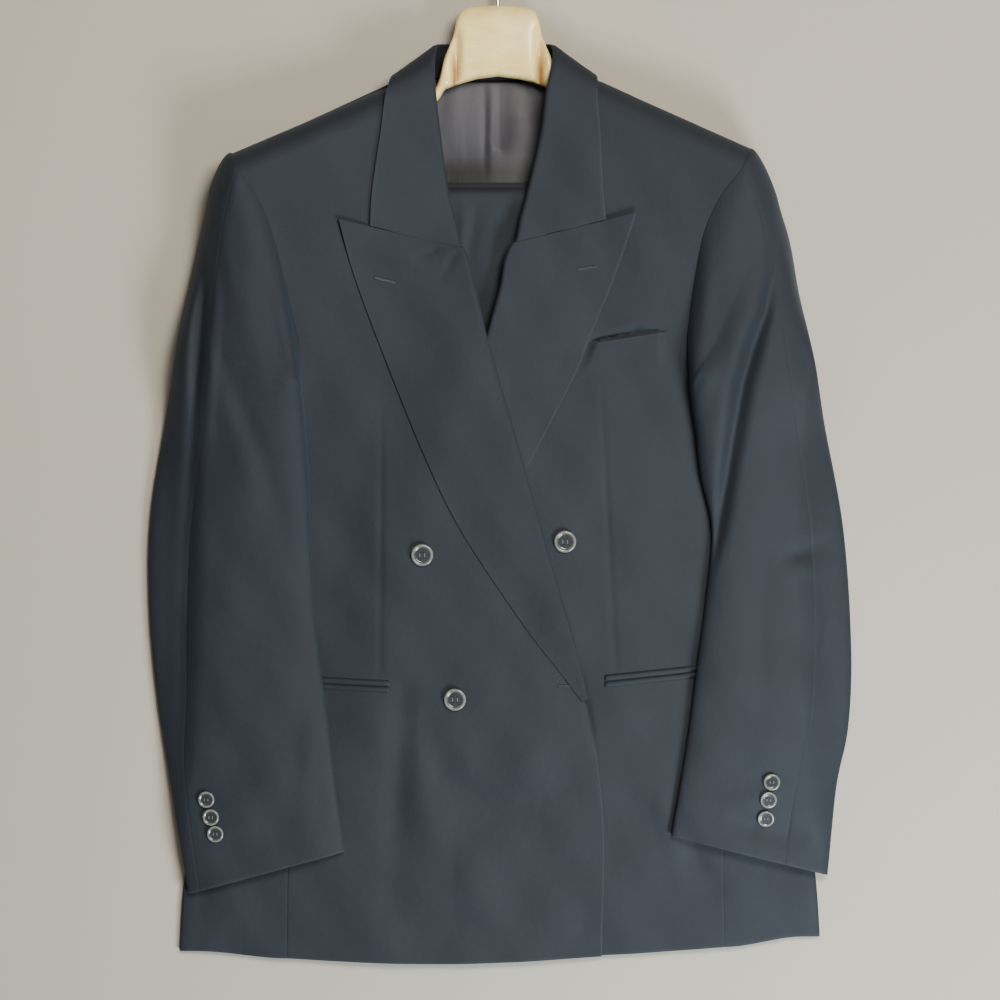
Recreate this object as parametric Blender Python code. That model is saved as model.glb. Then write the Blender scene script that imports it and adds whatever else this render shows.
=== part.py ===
"""A two-piece suit laid flat on its back, closed over a contoured wooden hanger.

The double-breasted jacket lies with its back on the floor. X is across the shoulders, Y runs from the
hem up to the hanger's hook, and Z is up out of the floor. Lengths in the tables are millimetres: `x` is
measured from the middle of the jacket, and `up` from the lowest point of the hem. "Right" and "left"
are the wearer's, so the right half lies at -X. Every cut of cloth is a grid laid on the shape below it
and given its wall by Solidify, and neighbouring cuts stop a seam's width apart.
"""

import math

import bmesh
import bpy
import numpy as np
from mathutils import Matrix, Vector

for item in list(bpy.data.objects):
    bpy.data.objects.remove(item, do_unlink=True)

MM = 0.001
RIGHT, LEFT = -1, 1

LENGTH = 921.2  # from the hem to the top of the hook

WALL = 1.6  # suiting with its canvas
LINING_WALL = 1.0
SEAM = 0.3  # between two cuts that are sewn together
LAY = 0.5  # between two layers that lie on each other

NECK_X = -2.0  # the middle of the neck and of the hanger
SHOULDER_SLOPE = math.radians(25.0)
NECK_HALF, NECK_UP = 108.4, 788.0  # a point on the shoulder line
SHOULDER_ROLL = 22.0  # how deep the shoulder rounds over the hanger
SIDE_ROLL = 15.0  # how deep the sides round over

TUCK = 1.5  # how much more than half the layers' height a lapel's roll is wide
FALL_LIFT = 2.4  # how far the back is raised by the collar that lies under it
BAR_UP, BAR_HIGH, BAR_RADIUS = 695.6, 18.0, 5.5
WIRE_RADIUS = 1.9
FRONT_BUTTON, CUFF_BUTTON = 20.0, 15.0


def table(columns, *rows):
    """Rows of numbers under named columns."""
    return {name: np.array(column, float) for name, column in zip(columns.split(), zip(*rows))}


def through(rows, key, at, column):
    """The smooth curve through a table's column, read where its key column has the value at."""
    knots, values = rows[key], rows[column]
    slopes = np.gradient(values, knots)
    at = min(max(at, knots[0]), knots[-1])
    i = min(max(int(np.searchsorted(knots, at)) - 1, 0), len(knots) - 2)
    span = knots[i + 1] - knots[i]
    t = (at - knots[i]) / span
    return (
        (1 + 2 * t) * (1 - t) ** 2 * values[i]
        + t * (1 - t) ** 2 * span * slopes[i]
        + t * t * (3 - 2 * t) * values[i + 1]
        + t * t * (t - 1) * span * slopes[i + 1]
    )


def ease(t):
    t = min(max(t, 0.0), 1.0)
    return t * t * (3 - 2 * t)


def mix(a, b, t):
    return a + (b - a) * t


# The body, lying flat: half its width, and how deep its inside is in the middle, at each height.
BODY = table(
    "up half_width depth",
    (0, 290, 6),
    (60, 286.5, 8),
    (150, 277, 12),
    (200, 271, 15),
    (300, 264, 16),
    (400, 262, 19),
    (500, 272, 25),
    (600, 275, 31),
    (700, 275, 36),
    (830, 275, 36),
)
CHEST_DEPTH = 20.0  # how much deeper the shoulders are at their ends than at the neck

# Soft folds of the fronts: a line from one point to another, its rise, and its width.
FRONT_FOLDS = table(
    "x0 up0 x1 up1 rise width",
    (-156, 311, -72, 284, 1.2, 26),
    (-74, 250, -85, 78, -1.3, 26),
    (-66, 205, 5, 128, -1.0, 26),
    (125, 168, 174, 66, -1.2, 24),
    (-120, 640, -60, 560, -1.0, 30),
    (120, 640, 150, 480, 1.0, 28),
)

# The fronts, row by row from the hem to the shoulder: the outer line is the side seam and the
# armhole, and the inner line's height is where the row meets the front edge, roll line and neck seam.
FRONT_RIGHT = table(
    "row outer_x outer_up inner_up",
    (0, -193, 5, 7),
    (2, -192, 77, 77),
    (4, -188, 190, 190),
    (6, -184, 276, 276),
    (8, -185, 383, 383),
    (10, -189, 464, 464),
    (11, -185, 510, 508),
    (12, -180, 545, 545),
    (13.5, -188, 592, 600),
    (15, -199, 640, 647),
    (18, -214, 684, 712),
    (21, -230.5, 709.5, 778),
)
FRONT_LEFT = table(
    "row outer_x outer_up inner_up",
    (0, 203, 15.3, 8),
    (2, 202, 77, 77),
    (4, 200, 190, 190),
    (6, 199, 276, 276),
    (8, 198, 383, 383),
    (10, 193, 464, 464),
    (11, 183, 508, 508),
    (12, 170, 545, 545),
    (13.5, 171, 592, 600),
    (15, 178, 640, 651),
    (18, 194, 686, 716),
    (21, 215, 714, 785),
)
# The front edge, and the roll line above it, up to the collar. Below the crossing the left front's is
# hidden.
EDGE_RIGHT = table(
    "up x",
    (0, 92),
    (149, 92),
    (190, 87),
    (241, 78.5),
    (276, 70.5),
    (324, 57),
    (383, 39.5),
    (464, 17),
    (526, -1),
    (565, -12),
    (615, -24),
    (645, -33),
)
EDGE_LEFT = table(
    "up x",
    (0, -105),
    (149, -105),
    (241, -99),
    (276, -92),
    (324, -79),
    (383, -62),
    (464, -40),
    (526, -23),
    (565, -12),
    (608, 0),
    (650, 12),
)
# Each lapel, from its point at the break up to the gorge: its outer edge, and its roll line's height.
LAPEL_RIGHT = table(
    "row outer_x outer_up inner_up",
    (0, 74, 238, 240),
    (1, 56, 262, 264),
    (2, 20, 309, 315),
    (3, -35, 392, 388),
    (4, -68, 460, 462),
    (5, -106, 554, 556),
    (6, -131, 622, 622),
    (7, -144, 670, 645),
)
LAPEL_LEFT = table(
    "row outer_x outer_up inner_up",
    (0, -93, 241, 241),
    (1, -77, 271, 272),
    (2, -27, 352, 352),
    (3, 23, 446, 446),
    (4, 66, 529, 531),
    (5, 78, 559, 561),
    (6, 103, 620, 620),
    (7, 122, 676, 650),
)
# The collar, from the gorge round to the middle of the back: the line it is measured from, the
# fall's edge, the fold along its top, the neck seam, and the turn from front (1) to back (-1).
COLLAR = table(
    "row middle edge_x edge_up fold_x fold_up seam_x seam_up turn",
    (0, -10.5, 106, 664, 22.5, 647, 25.5, 650, 1),
    (1, -11, 103, 698, 35, 692, 49, 696, 1),
    (2, -8.5, 98, 749, 45, 745, 61, 746, 1),
    (3, -8, 95, 777, 50, 786, 64, 776, 1),
    (4, -6, 93, 791, 53, 809, 65, 791, 0.8),
    (5, -5, 90, 799, 53, 824, 65, 800, 0.28),
    (6, -5, 86, 800, 51, 829, 63, 802, -0.35),
    (7, -5, 79, 795, 44, 831, 57, 802, -0.9),
    (8, -5, 62, 790, 32, 831, 41, 801, -1),
    (9, -5, 30, 786, 15, 831, 20, 799, -1),
    (10, -5, 0, 785, 0, 831, 0, 799, -1),
)
NECK_ROWS = 4.0  # the rows of the collar that are sewn to a front
BACK = table(
    "row right_x left_x outer_up inner_up",
    (0, 215, 215, 24, 24),
    (1, 213, 213, 77, 77),
    (2, 208, 208, 190, 190),
    (3, 204, 204, 276, 276),
    (4, 203, 203, 383, 383),
    (5, 206, 206, 464, 470),
    (6, 205, 204, 508, 530),
    (7, 203, 198, 560, 600),
    (8, 208, 196, 620, 680),
    (9, 218, 203, 675, 750),
    (10, 230.5, 215, 711, 786),
)
# Each sleeve, from the armhole to the cuff: its inner and outer fold, how thick it lies, and how
# far across its hind seam runs.
SLEEVE_RIGHT = table(
    "row inner_x inner_up outer_x outer_up thick hind",
    (0, -179, 530, -252, 746, 50, 0.84),
    (1, -176, 500, -262, 690, 41, 0.83),
    (2, -174, 469, -272, 650, 32, 0.81),
    (3, -172, 430, -283, 600, 25, 0.78),
    (4, -171, 390, -295, 527, 20, 0.75),
    (5, -168, 330, -314.5, 415, 16, 0.75),
    (6, -163, 275, -317, 330, 14, 0.77),
    (7, -155, 215, -310, 245, 13, 0.82),
    (8, -148, 155, -299, 174, 12, 0.90),
    (9, -140, 103, -280.5, 64, 10, 0.93),
)
SLEEVE_LEFT = table(
    "row inner_x inner_up outer_x outer_up thick hind",
    (0, 169, 530, 235, 744, 50, 0.84),
    (1, 172, 505, 250, 686, 41, 0.83),
    (2, 176, 480, 262, 648, 32, 0.82),
    (3, 181, 440, 273, 585, 25, 0.80),
    (4, 191, 392, 288.5, 505, 20, 0.77),
    (5, 186, 330, 309, 400, 16, 0.76),
    (6, 178, 270, 317, 290, 14, 0.75),
    (7, 170, 208, 314.5, 215, 13, 0.74),
    (8, 162, 158, 303.5, 160, 12, 0.73),
    (9, 155, 117, 295, 81, 10, 0.72),
)
HEAD_ROWS, FALL_ROWS = 0.9, 2.6  # over these rows the sleeve leaves the armhole, and falls to lie flat
FRONT_SEAM_TURN = 0.4  # how far under the inner fold the sleeve's front seam lies, in radians

SLEEVE_FOLDS_RIGHT = table(
    "x0 up0 x1 up1 rise width",
    (-259, 700, -263, 600, -5, 9),
    (-263, 600, -270, 475, -4, 9),
    (-242, 674, -229, 610, -2, 9),
    (-259, 572, -200, 430, 2, 16),
    (-276, 405, -281, 250, -1.6, 10),
)
SLEEVE_FOLDS_LEFT = table(
    "x0 up0 x1 up1 rise width",
    (255, 650, 232, 553, -5, 9),
    (232, 553, 206, 434, -6, 10),
    (262, 374, 298, 366, -4, 8),
    (240, 354, 240, 230, 1.6, 14),
    (290, 336, 286, 284, -1.5, 8),
    (205, 112, 275, 108, -2, 12),
)

# The hanger, measured from the neck's middle: its upper and lower edges, and its two faces. The arms
# fill the shoulders, and flare down at their ends to take the bar.
HANGER = table(
    "x top bottom low high",
    (0, 864, 801, 5.8, 34),
    (19, 863, 798.5, 5.8, 34),
    (28, 861.5, 796, 5.8, 34),
    (33, 859, 794.5, 6.2, 34),
    (37, 852, 793, 7.0, 34),
    (39.5, 838, 792, 7.5, 34),
    (44, 826, 790.5, 8.5, 33.5),
    (47.5, 819, 789, 9.0, 33),
    (49.5, 812, 786, 9.5, 33),
    (51.5, 802, 782, 10.0, 32),
    (55, 792, 778, 10.0, 31),
    (60, 788, 773, 10.0, 31),
    (68, 787, 767, 9.0, 33),
    (80, 784, 758, 8.0, 35),
    (100, 777, 744, 5.0, 37.5),
    (130, 764, 726, 3.4, 40.5),
    (165, 749, 710, 2.6, 44),
    (182, 741, 704, 2.6, 45),
    (187, 739, 683, 2.6, 45),
    (193, 735, 681, 2.6, 44),
    (201, 724, 692, 12, 36),
)

# Half the trousers' width along the fold over the bar: from the hems in front to the waist behind.
TROUSERS = table(
    "along half_width",
    (0.0, 104),
    (0.35, 114),
    (0.5, 121),
    (0.65, 140),
    (0.85, 176),
    (1.0, 190),
)
TROUSERS_X = -6.0
STACK = 4.4  # four layers of trouser cloth
STACK_EDGE = (1.3, 0.2, 1.1, 0.0, 0.9, 0.3, 1.0, 0.1, 1.3)  # how far in each layer and gap ends
HEM_END, WAIST_END = 178.0, 196.0
WAISTBAND = 38.0


def finish(name, color, roughness, metallic=0.0):
    material = bpy.data.materials.new(name)
    material.use_nodes = True
    shader = material.node_tree.nodes["Principled BSDF"]
    shader.inputs["Base Color"].default_value = (*color, 1)
    shader.inputs["Roughness"].default_value = roughness
    shader.inputs["Metallic"].default_value = metallic
    return material


SUITING = finish("midnight_wool", (0.018, 0.023, 0.032), 0.85)
LINING = finish("grey_satin", (0.10, 0.095, 0.105), 0.4)
HORN = finish("dark_horn", (0.035, 0.037, 0.035), 0.25)
MAPLE = finish("varnished_maple", (0.72, 0.50, 0.24), 0.35)
STEEL = finish("plated_steel", (0.72, 0.72, 0.72), 0.2, 1.0)


def place(x, up, z):
    """A point of the tables, in the part's own frame."""
    return Vector((x * MM, (up - LENGTH / 2) * MM, z * MM))


def add(name, mesh, material):
    data = bpy.data.meshes.new(name)
    mesh.to_mesh(data)
    mesh.free()
    data.materials.append(material)
    data.shade_smooth()
    data.set_sharp_from_angle(angle=math.radians(40))
    made = bpy.data.objects.new(name, data)
    bpy.context.collection.objects.link(made)
    return made


def cloth(name, point, across, along, wall=WALL, material=SUITING):
    """A cut of cloth: the middle of its wall passes through point(u, v)."""
    mesh = bmesh.new()
    bmesh.ops.create_grid(mesh, x_segments=across, y_segments=along, size=0.5)
    for vert in mesh.verts:
        vert.co = place(*point(vert.co.x + 0.5, vert.co.y + 0.5))
    made = add(name, mesh, material)
    wall_maker = made.modifiers.new("wall", "SOLIDIFY")
    wall_maker.thickness = wall * MM
    wall_maker.offset = 0
    return made


def ringed(name, rings, material):
    """A solid through closed rings of the same number of points, capped at both ends."""
    mesh = bmesh.new()
    loops = [[mesh.verts.new(place(*point)) for point in ring] for ring in rings]
    for one, two in zip(loops, loops[1:]):
        for i in range(len(one)):
            j = (i + 1) % len(one)
            mesh.faces.new((one[i], one[j], two[j], two[i]))
    mesh.faces.new(loops[0][::-1])
    mesh.faces.new(loops[-1])
    bmesh.ops.recalc_face_normals(mesh, faces=mesh.faces)
    return add(name, mesh, material)


def folds(x, up, lines):
    """How far the soft folds raise the cloth at a point."""
    rise = 0.0
    for x0, up0, x1, up1, height, width in zip(*lines.values()):
        run, climb = x1 - x0, up1 - up0
        along = ((x - x0) * run + (up - up0) * climb) / (run * run + climb * climb)
        along = min(max(along, 0.0), 1.0)
        away = math.hypot(x - x0 - along * run, up - up0 - along * climb)
        rise += height * math.exp(-((away / width) ** 2))
    return rise


def shoulder_up(x):
    """The height of the shoulder line, at a place across the shoulders."""
    return NECK_UP - math.tan(SHOULDER_SLOPE) * (abs(x - NECK_X) - NECK_HALF)


def seam_high(x):
    """How high the shoulder seam lies above the floor."""
    return mix(19.0, 28.0, (abs(x - NECK_X) - 70) / 160)


def depth(x, up):
    """How high the inside of the lower front lies above the floor."""
    half = through(BODY, "up", up, "half_width")
    sides = 1 - 0.45 * (abs(x) / half) ** 4 * ease((540 - up) / 80)
    chest = CHEST_DEPTH * ease((up - 450) / 300) * (abs(x - NECK_X) / 230) ** 1.5
    return through(BODY, "up", up, "depth") * sides + chest


def edge_x(edge, up):
    """Where a front's inner line runs at a height."""
    return through(edge, "up", up, "x")


def with_neck(edge, side):
    """A front's edge and roll line, carried on along the collar's seam."""
    apart = 0.9  # a seam's width, and what the coarser of the two cuts' chords take
    rows = np.arange(0.25, NECK_ROWS, 0.45)
    ups = [through(COLLAR, "row", row, "seam_up") for row in rows]
    xs = [
        through(COLLAR, "row", row, "middle") + side * (through(COLLAR, "row", row, "seam_x") + apart)
        for row in rows
    ]
    return {"up": np.append(edge["up"], ups), "x": np.append(edge["x"], xs)}


EDGE_RIGHT, EDGE_LEFT = with_neck(EDGE_RIGHT, RIGHT), with_neck(EDGE_LEFT, LEFT)


def seam_line(rows, last, column):
    """The outer line of a cut up to a row, as places across read by height."""
    at = np.linspace(0, last, 200)
    ups = [through(rows, "row", a, "outer_up") for a in at]
    xs = [through(rows, "row", a, column) for a in at]
    return lambda up: float(np.interp(up, ups, xs))


def left_top(x, up):
    """The middle of the left front's wall, which lies on the trousers and under the right front."""
    return depth(x, up) + WALL / 2 + folds(x, up, FRONT_FOLDS)


def right_top(x, up):
    """The middle of the right front's wall: it climbs over the left front, and over its lapel."""
    climbed = ease((x - edge_x(EDGE_LEFT, up) + 88) / 84)
    over_lapel = ease((up - 125) / 110)
    return left_top(x, up) + climbed * mix(WALL + LAY, 2 * (WALL + LAY) + 1.9, over_lapel)


def row_of(v, rows):
    return v * rows["row"][-1]


def ends(rows, edge, v):
    """The two ends of a cut's row: on its outer line, and on the front's inner line."""
    at = row_of(v, rows)
    inner_up = through(rows, "row", at, "inner_up")
    outer = through(rows, "row", at, "outer_x"), through(rows, "row", at, "outer_up")
    return outer, (edge_x(edge, inner_up), inner_up)


FRONT_ROLL = 4 / 25  # the share of a front's rows that round over the shoulder
BACK_ROLL = 3 / 16


def front(rows, edge, lapel_rows, side, surface, hem_dip):
    """A front, from its hem to the shoulder seam, which it reaches by rounding over the shoulder."""

    def point(u, v):
        flat = min(v / (1 - FRONT_ROLL), 1.0)
        outer, inner = ends(rows, edge, flat)
        inner = inner[0] + side * tuck(lapel_rows, edge, inner[1]), inner[1]
        x, up = mix(outer[0], inner[0], u), mix(outer[1], inner[1], u)
        up -= hem_dip * math.sin(math.pi * u) * ease(1 - flat / 0.12)
        z = surface(x, up)
        turn = max(v - (1 - FRONT_ROLL), 0.0) / FRONT_ROLL * math.pi / 2
        reach = SHOULDER_ROLL * math.sin(turn)
        x += side * reach * math.sin(SHOULDER_SLOPE)
        up += reach * math.cos(SHOULDER_SLOPE)
        return x, up, mix(seam_high(x) + SEAM, z, math.cos(turn))

    return point


def lapel_width(rows, edge, up):
    """How wide a lapel is where its roll line is at a height."""
    at = float(np.interp(up, rows["inner_up"], rows["row"]))
    return abs(through(rows, "row", at, "outer_x") - edge_x(edge, up))


def curl_wide(width):
    """How far a lapel's roll reaches in from the roll line."""
    return min((WALL + LAY) / 2 + TUCK, 0.45 * width)


def tuck(rows, edge, up):
    """How far a front stops short of its inner line, to leave room for the lapel's roll."""
    low, high = rows["inner_up"][0], rows["inner_up"][-1]
    beside = ease((up - low + 50) / 40) * ease((high + 16 - up) / 16)
    return (curl_wide(lapel_width(rows, edge, up)) + 3 * SEAM) * beside


def back_low(x, up):
    """The middle of the back's wall: on the floor, or over the collar's fall behind the neck."""
    from_neck = abs(x - NECK_X)
    return WALL / 2 + FALL_LIFT * ease((up - 695) / 80) * ease((150 - from_neck) / 60)


def back(side):
    """Half the back: flat on the floor, and rounded up to the shoulder seam."""

    def point(u, v):
        flat = min(v / (1 - BACK_ROLL), 1.0)
        at = row_of(flat, BACK)
        column = "right_x" if side == RIGHT else "left_x"
        x = side * mix(through(BACK, "row", at, column), SEAM / 2, u)
        up = mix(through(BACK, "row", at, "outer_up"), through(BACK, "row", at, "inner_up"), u)
        low_end, top = BACK["outer_up"][-1], BACK["inner_up"][-1]
        last_x = side * (mix(BACK[column][-1], SEAM / 2, u) + SHOULDER_ROLL * math.sin(SHOULDER_SLOPE))
        shoulder = shoulder_up(last_x) - SHOULDER_ROLL * math.cos(SHOULDER_SLOPE)
        up += (min(top, shoulder) - mix(low_end, top, u)) * ease((flat - 0.5) / 0.5)
        rounds = ease((abs(x - NECK_X) - 66) / 16)
        turn = max(v - (1 - BACK_ROLL), 0.0) / BACK_ROLL * math.pi / 2
        low = back_low(x, up)
        reach = mix(9.0, SHOULDER_ROLL, rounds) * math.sin(turn)
        x += side * reach * math.sin(SHOULDER_SLOPE) * rounds
        up += reach * mix(1.0, math.cos(SHOULDER_SLOPE), rounds)
        return x, up, mix(low, mix(seam_high(x) - SEAM, low, math.cos(turn)), rounds)

    return point


def side_body(side, front_rows, hem_edge):
    """A side body: it leaves the front at its seam, rounds the side and runs under to the back."""
    on_top, below = 0.4, 0.7  # the shares of the cut where the rounding starts and ends
    apart = 1.0  # a seam's width, and what the chords of the coarser cut take
    front_seam, back_seam = seam_line(front_rows, 10, "outer_x"), seam_line(BACK, 5, "right_x")
    hem_front, hem_back = front_rows["outer_up"][0], BACK["outer_up"][0]

    def hem_up(u):
        if u < 0.5:
            return mix(hem_front, hem_edge, ease(u / on_top))
        return mix(hem_edge, hem_back, ease(2 * u - 1))

    def point(u, v):
        up = mix(hem_up(u), 462.0, v)
        half = through(BODY, "up", up, "half_width") - SIDE_ROLL
        top = left_top(side * half, up)
        low = WALL / 2
        if u <= on_top:
            x = mix(abs(front_seam(up)) + apart, half, u / on_top)
            return side * x, up, left_top(side * x, up)
        if u >= below:
            x = mix(half, back_seam(up) + apart, (u - below) / (1 - below))
            return side * x, up, low
        turn = (u - on_top) / (below - on_top) * math.pi
        return side * (half + SIDE_ROLL * math.sin(turn)), up, mix(low, top, (1 + math.cos(turn)) / 2)

    return point


def lapel(rows, edge, side, surface):
    """A lapel: it lies on its front, rises softly to the roll line and curls under to the front."""
    rolled = 0.3  # the share of the cut that curls under

    def point(u, v):
        flat = min(u / (1 - rolled), 1.0)
        outer, inner = ends(rows, edge, v)
        width = abs(inner[0] - outer[0])
        curl = curl_wide(width)
        x = mix(outer[0], inner[0] + side * curl, flat)
        up = mix(outer[1], inner[1], flat)
        z = surface(x, up) + WALL + 2 * LAY + 1.1 * ease(flat) * ease(width / 40)
        turn = max(u - (1 - rolled), 0.0) / rolled * math.pi
        if turn > 0:
            z = mix(surface(inner[0] + side * curl, up), z, (1 + math.cos(turn)) / 2)
            x = inner[0] + side * curl * (1 - math.sin(turn))
        return x, up, z

    return point


def collar(side, surface, lapel_rows, edge):
    """Half the collar: the fall, the fold along its top, and the stand down to the neck seam."""
    fall, stand = 0.45, 0.72  # the shares of the cut where the fold starts and ends
    fold_wide = 3.0
    behind, behind_apart = 2.35, 2.7  # behind the neck: the two layers' middle, and how far apart they lie
    outer, inner = ends(lapel_rows, edge, 1.0)

    def gorge_up(x):
        return inner[1] + (outer[1] - inner[1]) * min(max((x - inner[0]) / (outer[0] - inner[0]), 0.0), 1.0)

    def point(u, v):
        row = row_of(v, COLLAR)
        line = {c: through(COLLAR, "row", row, c) for c in COLLAR}
        turn = min(max(line["turn"], -1.0), 1.0)
        facing, sideways = (1 + turn) / 2, math.sqrt(1 - turn * turn)
        apart = mix(behind_apart, WALL + LAY + 1.2, facing)
        down = Vector((line["edge_x"] - line["fold_x"], line["edge_up"] - line["fold_up"])).normalized()
        rolled = min(max((u - fall) / (stand - fall), 0.0), 1.0) * math.pi
        x = line["fold_x"] + down.x * fold_wide * (1 - math.sin(rolled))
        up = line["fold_up"] + down.y * fold_wide * (1 - math.sin(rolled))
        if u < fall:
            x, up = mix(line["edge_x"], x, u / fall), mix(line["edge_up"], up, u / fall)
        elif u > stand:
            share = (u - stand) / (1 - stand)
            x, up = mix(x, line["seam_x"], share), mix(up, line["seam_up"], share)
        lift = apart / 2 * math.cos(rolled)
        x -= down.y * lift * sideways
        up += down.x * lift * sideways
        x = line["middle"] + side * x
        up = mix(up, gorge_up(x) + SEAM * 1.5, 1 - ease(row / 0.6))
        middle = mix(behind, surface(x, min(up, 780.0)) + apart / 2, facing)
        return x if v < 1 else side * SEAM / 2 + line["middle"], up, middle + lift * turn

    return point


def over_body(surface, x, up, top, drop):
    """How high a sleeve's cloth lies above the floor where the body is under it. It leaves the body
    at the height top, over the length drop."""
    half = through(BODY, "up", up, "half_width")
    beside = ease((half + 42 - abs(x)) / 42)
    pocket = 1.9 * math.exp(-(((up - 258) / 30) ** 2))  # the jets that the sleeve lies on
    armhole = 1.5 * ease((up - 465) / 45)  # the armhole's seam under the arm
    return (surface(x, up) + WALL / 2 + LAY + SEAM + pocket + armhole) * beside * ease((top - up) / drop)


def sleeve(rows, side, lines, surface, front_point, back_point):
    """The tube of a sleeve: point(turn, v), where turn runs over the top from the inner fold, at 0,
    to the outer one, at pi, and back below."""
    low_front, low_back = 0.48, 0.569  # where the armhole starts on the front's and the back's outer line
    apart_front, apart_back = 1.3, 3.0
    fold_high = 2.6

    def armhole(turn):
        share = abs(turn / math.pi) if turn < math.pi else 2 - turn / math.pi
        inner = front_point(0.0, low_front)
        lifted = 4.0 * (1 - ease(share / 0.18))
        if 0 <= turn <= math.pi:
            x, up, z = front_point(0.0, mix(low_front, 1.0, share))
            return x + side * apart_front, up, z + lifted
        x, up, z = back_point(0.0, mix(low_back, 1.0, share))
        across, near = 1 - ease((share - 0.04) / 0.15), 1 - ease((share - 0.06) / 0.3)
        x, up = mix(x, inner[0], across), mix(up, inner[1], across)
        return x + side * mix(apart_back, apart_front, across), up, mix(z, inner[2] + lifted, near)

    def tube(turn, v):
        row = row_of(v, rows)
        line = {c: through(rows, "row", row, c) for c in rows}
        share = (1 - math.cos(turn)) / 2
        x, up = mix(line["inner_x"], line["outer_x"], share), mix(line["inner_up"], line["outer_up"], share)
        lift = abs(math.sin(turn))
        floor = over_body(surface, x, up, 590, 40) + WALL / 2 + SEAM
        if math.sin(turn) < 0:
            return x, up, floor + fold_high * (1 - lift**0.5)
        smooth_floor = over_body(surface, x, up, 720, 260) + WALL / 2 + SEAM
        z = mix(floor, smooth_floor, ease(lift / 0.6)) + mix(fold_high, line["thick"], lift**0.8)
        return x, up, z + folds(x, up, lines) * ease(lift / 0.5)

    def point(turn, v):
        row, share = row_of(v, rows), (1 - math.cos(turn)) / 2
        start, end = armhole(turn), tube(turn, v)
        fall_rows = FALL_ROWS if 0 < turn < math.pi else mix(HEAD_ROWS, FALL_ROWS, share)
        out, fallen = (ease(row / mix(0.42, full, ease(share / 0.35))) for full in (HEAD_ROWS, fall_rows))
        return mix(start[0], end[0], out), mix(start[1], end[1], out), mix(start[2], end[2], fallen)

    return point


def top_sleeve(rows, tube):
    def point(u, v):
        hind = through(rows, "row", v * rows["row"][-1], "hind")
        start = -FRONT_SEAM_TURN * ease(v / 0.05)
        return tube(mix(start, math.acos(1 - 2 * hind), u), v)

    return point


def under_sleeve(rows, tube):
    parting = 0.02

    def point(u, v):
        hind = through(rows, "row", v * rows["row"][-1], "hind")
        start = math.acos(1 - 2 * hind) + parting
        end = 2 * math.pi - mix(0.2, FRONT_SEAM_TURN, ease(v / 0.05)) - 3 * parting
        return tube(mix(start, end, u), v)

    return point


def strip(surface, corners, lift, gape=0.0):
    """A narrow cut laid on a panel: corners are lower left, lower right, upper left, upper right."""

    def point(u, v):
        low = [mix(corners[0][i], corners[1][i], u) for i in (0, 1)]
        high = [mix(corners[2][i], corners[3][i], u) for i in (0, 1)]
        x, up = mix(low[0], high[0], v), mix(low[1], high[1], v)
        return x, up, surface(x, up) + lift + gape * ease(v) * math.sin(math.pi * u)

    return point


def button(name, seat, normal, width):
    """A four-hole button's turned blank: a rounded rim round a shallow dish."""
    radius = width / 2
    thick = 0.17 * width
    profile = [
        (0.0, 0.0),
        (0.80 * radius, 0.0),
        (radius, 0.45 * thick),
        (0.93 * radius, 0.95 * thick),
        (0.80 * radius, thick),
        (0.62 * radius, 0.62 * thick),
        (0.0, 0.62 * thick),
    ]
    mesh = bmesh.new()
    verts = [mesh.verts.new((r * MM, 0, h * MM)) for r, h in profile]
    edges = [mesh.edges.new(pair) for pair in zip(verts, verts[1:])]
    bmesh.ops.spin(
        mesh, geom=verts + edges, cent=(0, 0, 0), axis=(0, 0, 1), angle=2 * math.pi, steps=16,
        use_merge=True, use_duplicate=False,
    )
    bmesh.ops.remove_doubles(mesh, verts=mesh.verts, dist=0.00001)
    bmesh.ops.recalc_face_normals(mesh, faces=mesh.faces)
    turn = Vector((0, 0, 1)).rotation_difference(Vector(normal)).to_matrix().to_4x4()
    bmesh.ops.transform(mesh, matrix=Matrix.Translation(place(*seat)) @ turn, verts=mesh.verts)
    return add(name, mesh, HORN)


def button_on(name, surface, x, up, width):
    """A button on a panel, square to the cloth and just clear of its highest point."""
    step = width / 2
    rise_x = (surface(x + step, up) - surface(x - step, up)) / (2 * step)
    rise_up = (surface(x, up + step) - surface(x, up - step)) / (2 * step)
    middle = surface(x, up)
    bulge = 0.0
    for k in range(12):
        dx, dup = (step * f(k * math.pi / 6) for f in (math.cos, math.sin))
        bulge = max(bulge, surface(x + dx, up + dup) - middle - rise_x * dx - rise_up * dup)
    seat = (x, up, middle + WALL / 2 + SEAM + bulge)
    return button(name, seat, (-rise_x, -rise_up, 1), width)


def height_on(tube, x, up):
    """The height of a sleeve's top at a place, by closing in on it."""
    turn, v, reach = 1.6, 0.5, 0.5
    steps = (-1, -0.5, 0, 0.5, 1)
    for _ in range(26):
        tries = [(turn + a * reach * 1.5, v + b * reach) for a in steps for b in steps]
        tries = [(min(max(t, 0.05), 3.1), min(max(w, 0.0), 1.0)) for t, w in tries]
        turn, v = min(tries, key=lambda p: math.hypot(*(a - b for a, b in zip(tube(*p), (x, up)))))
        reach *= 0.7
    return tube(turn, v)[2]


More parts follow.
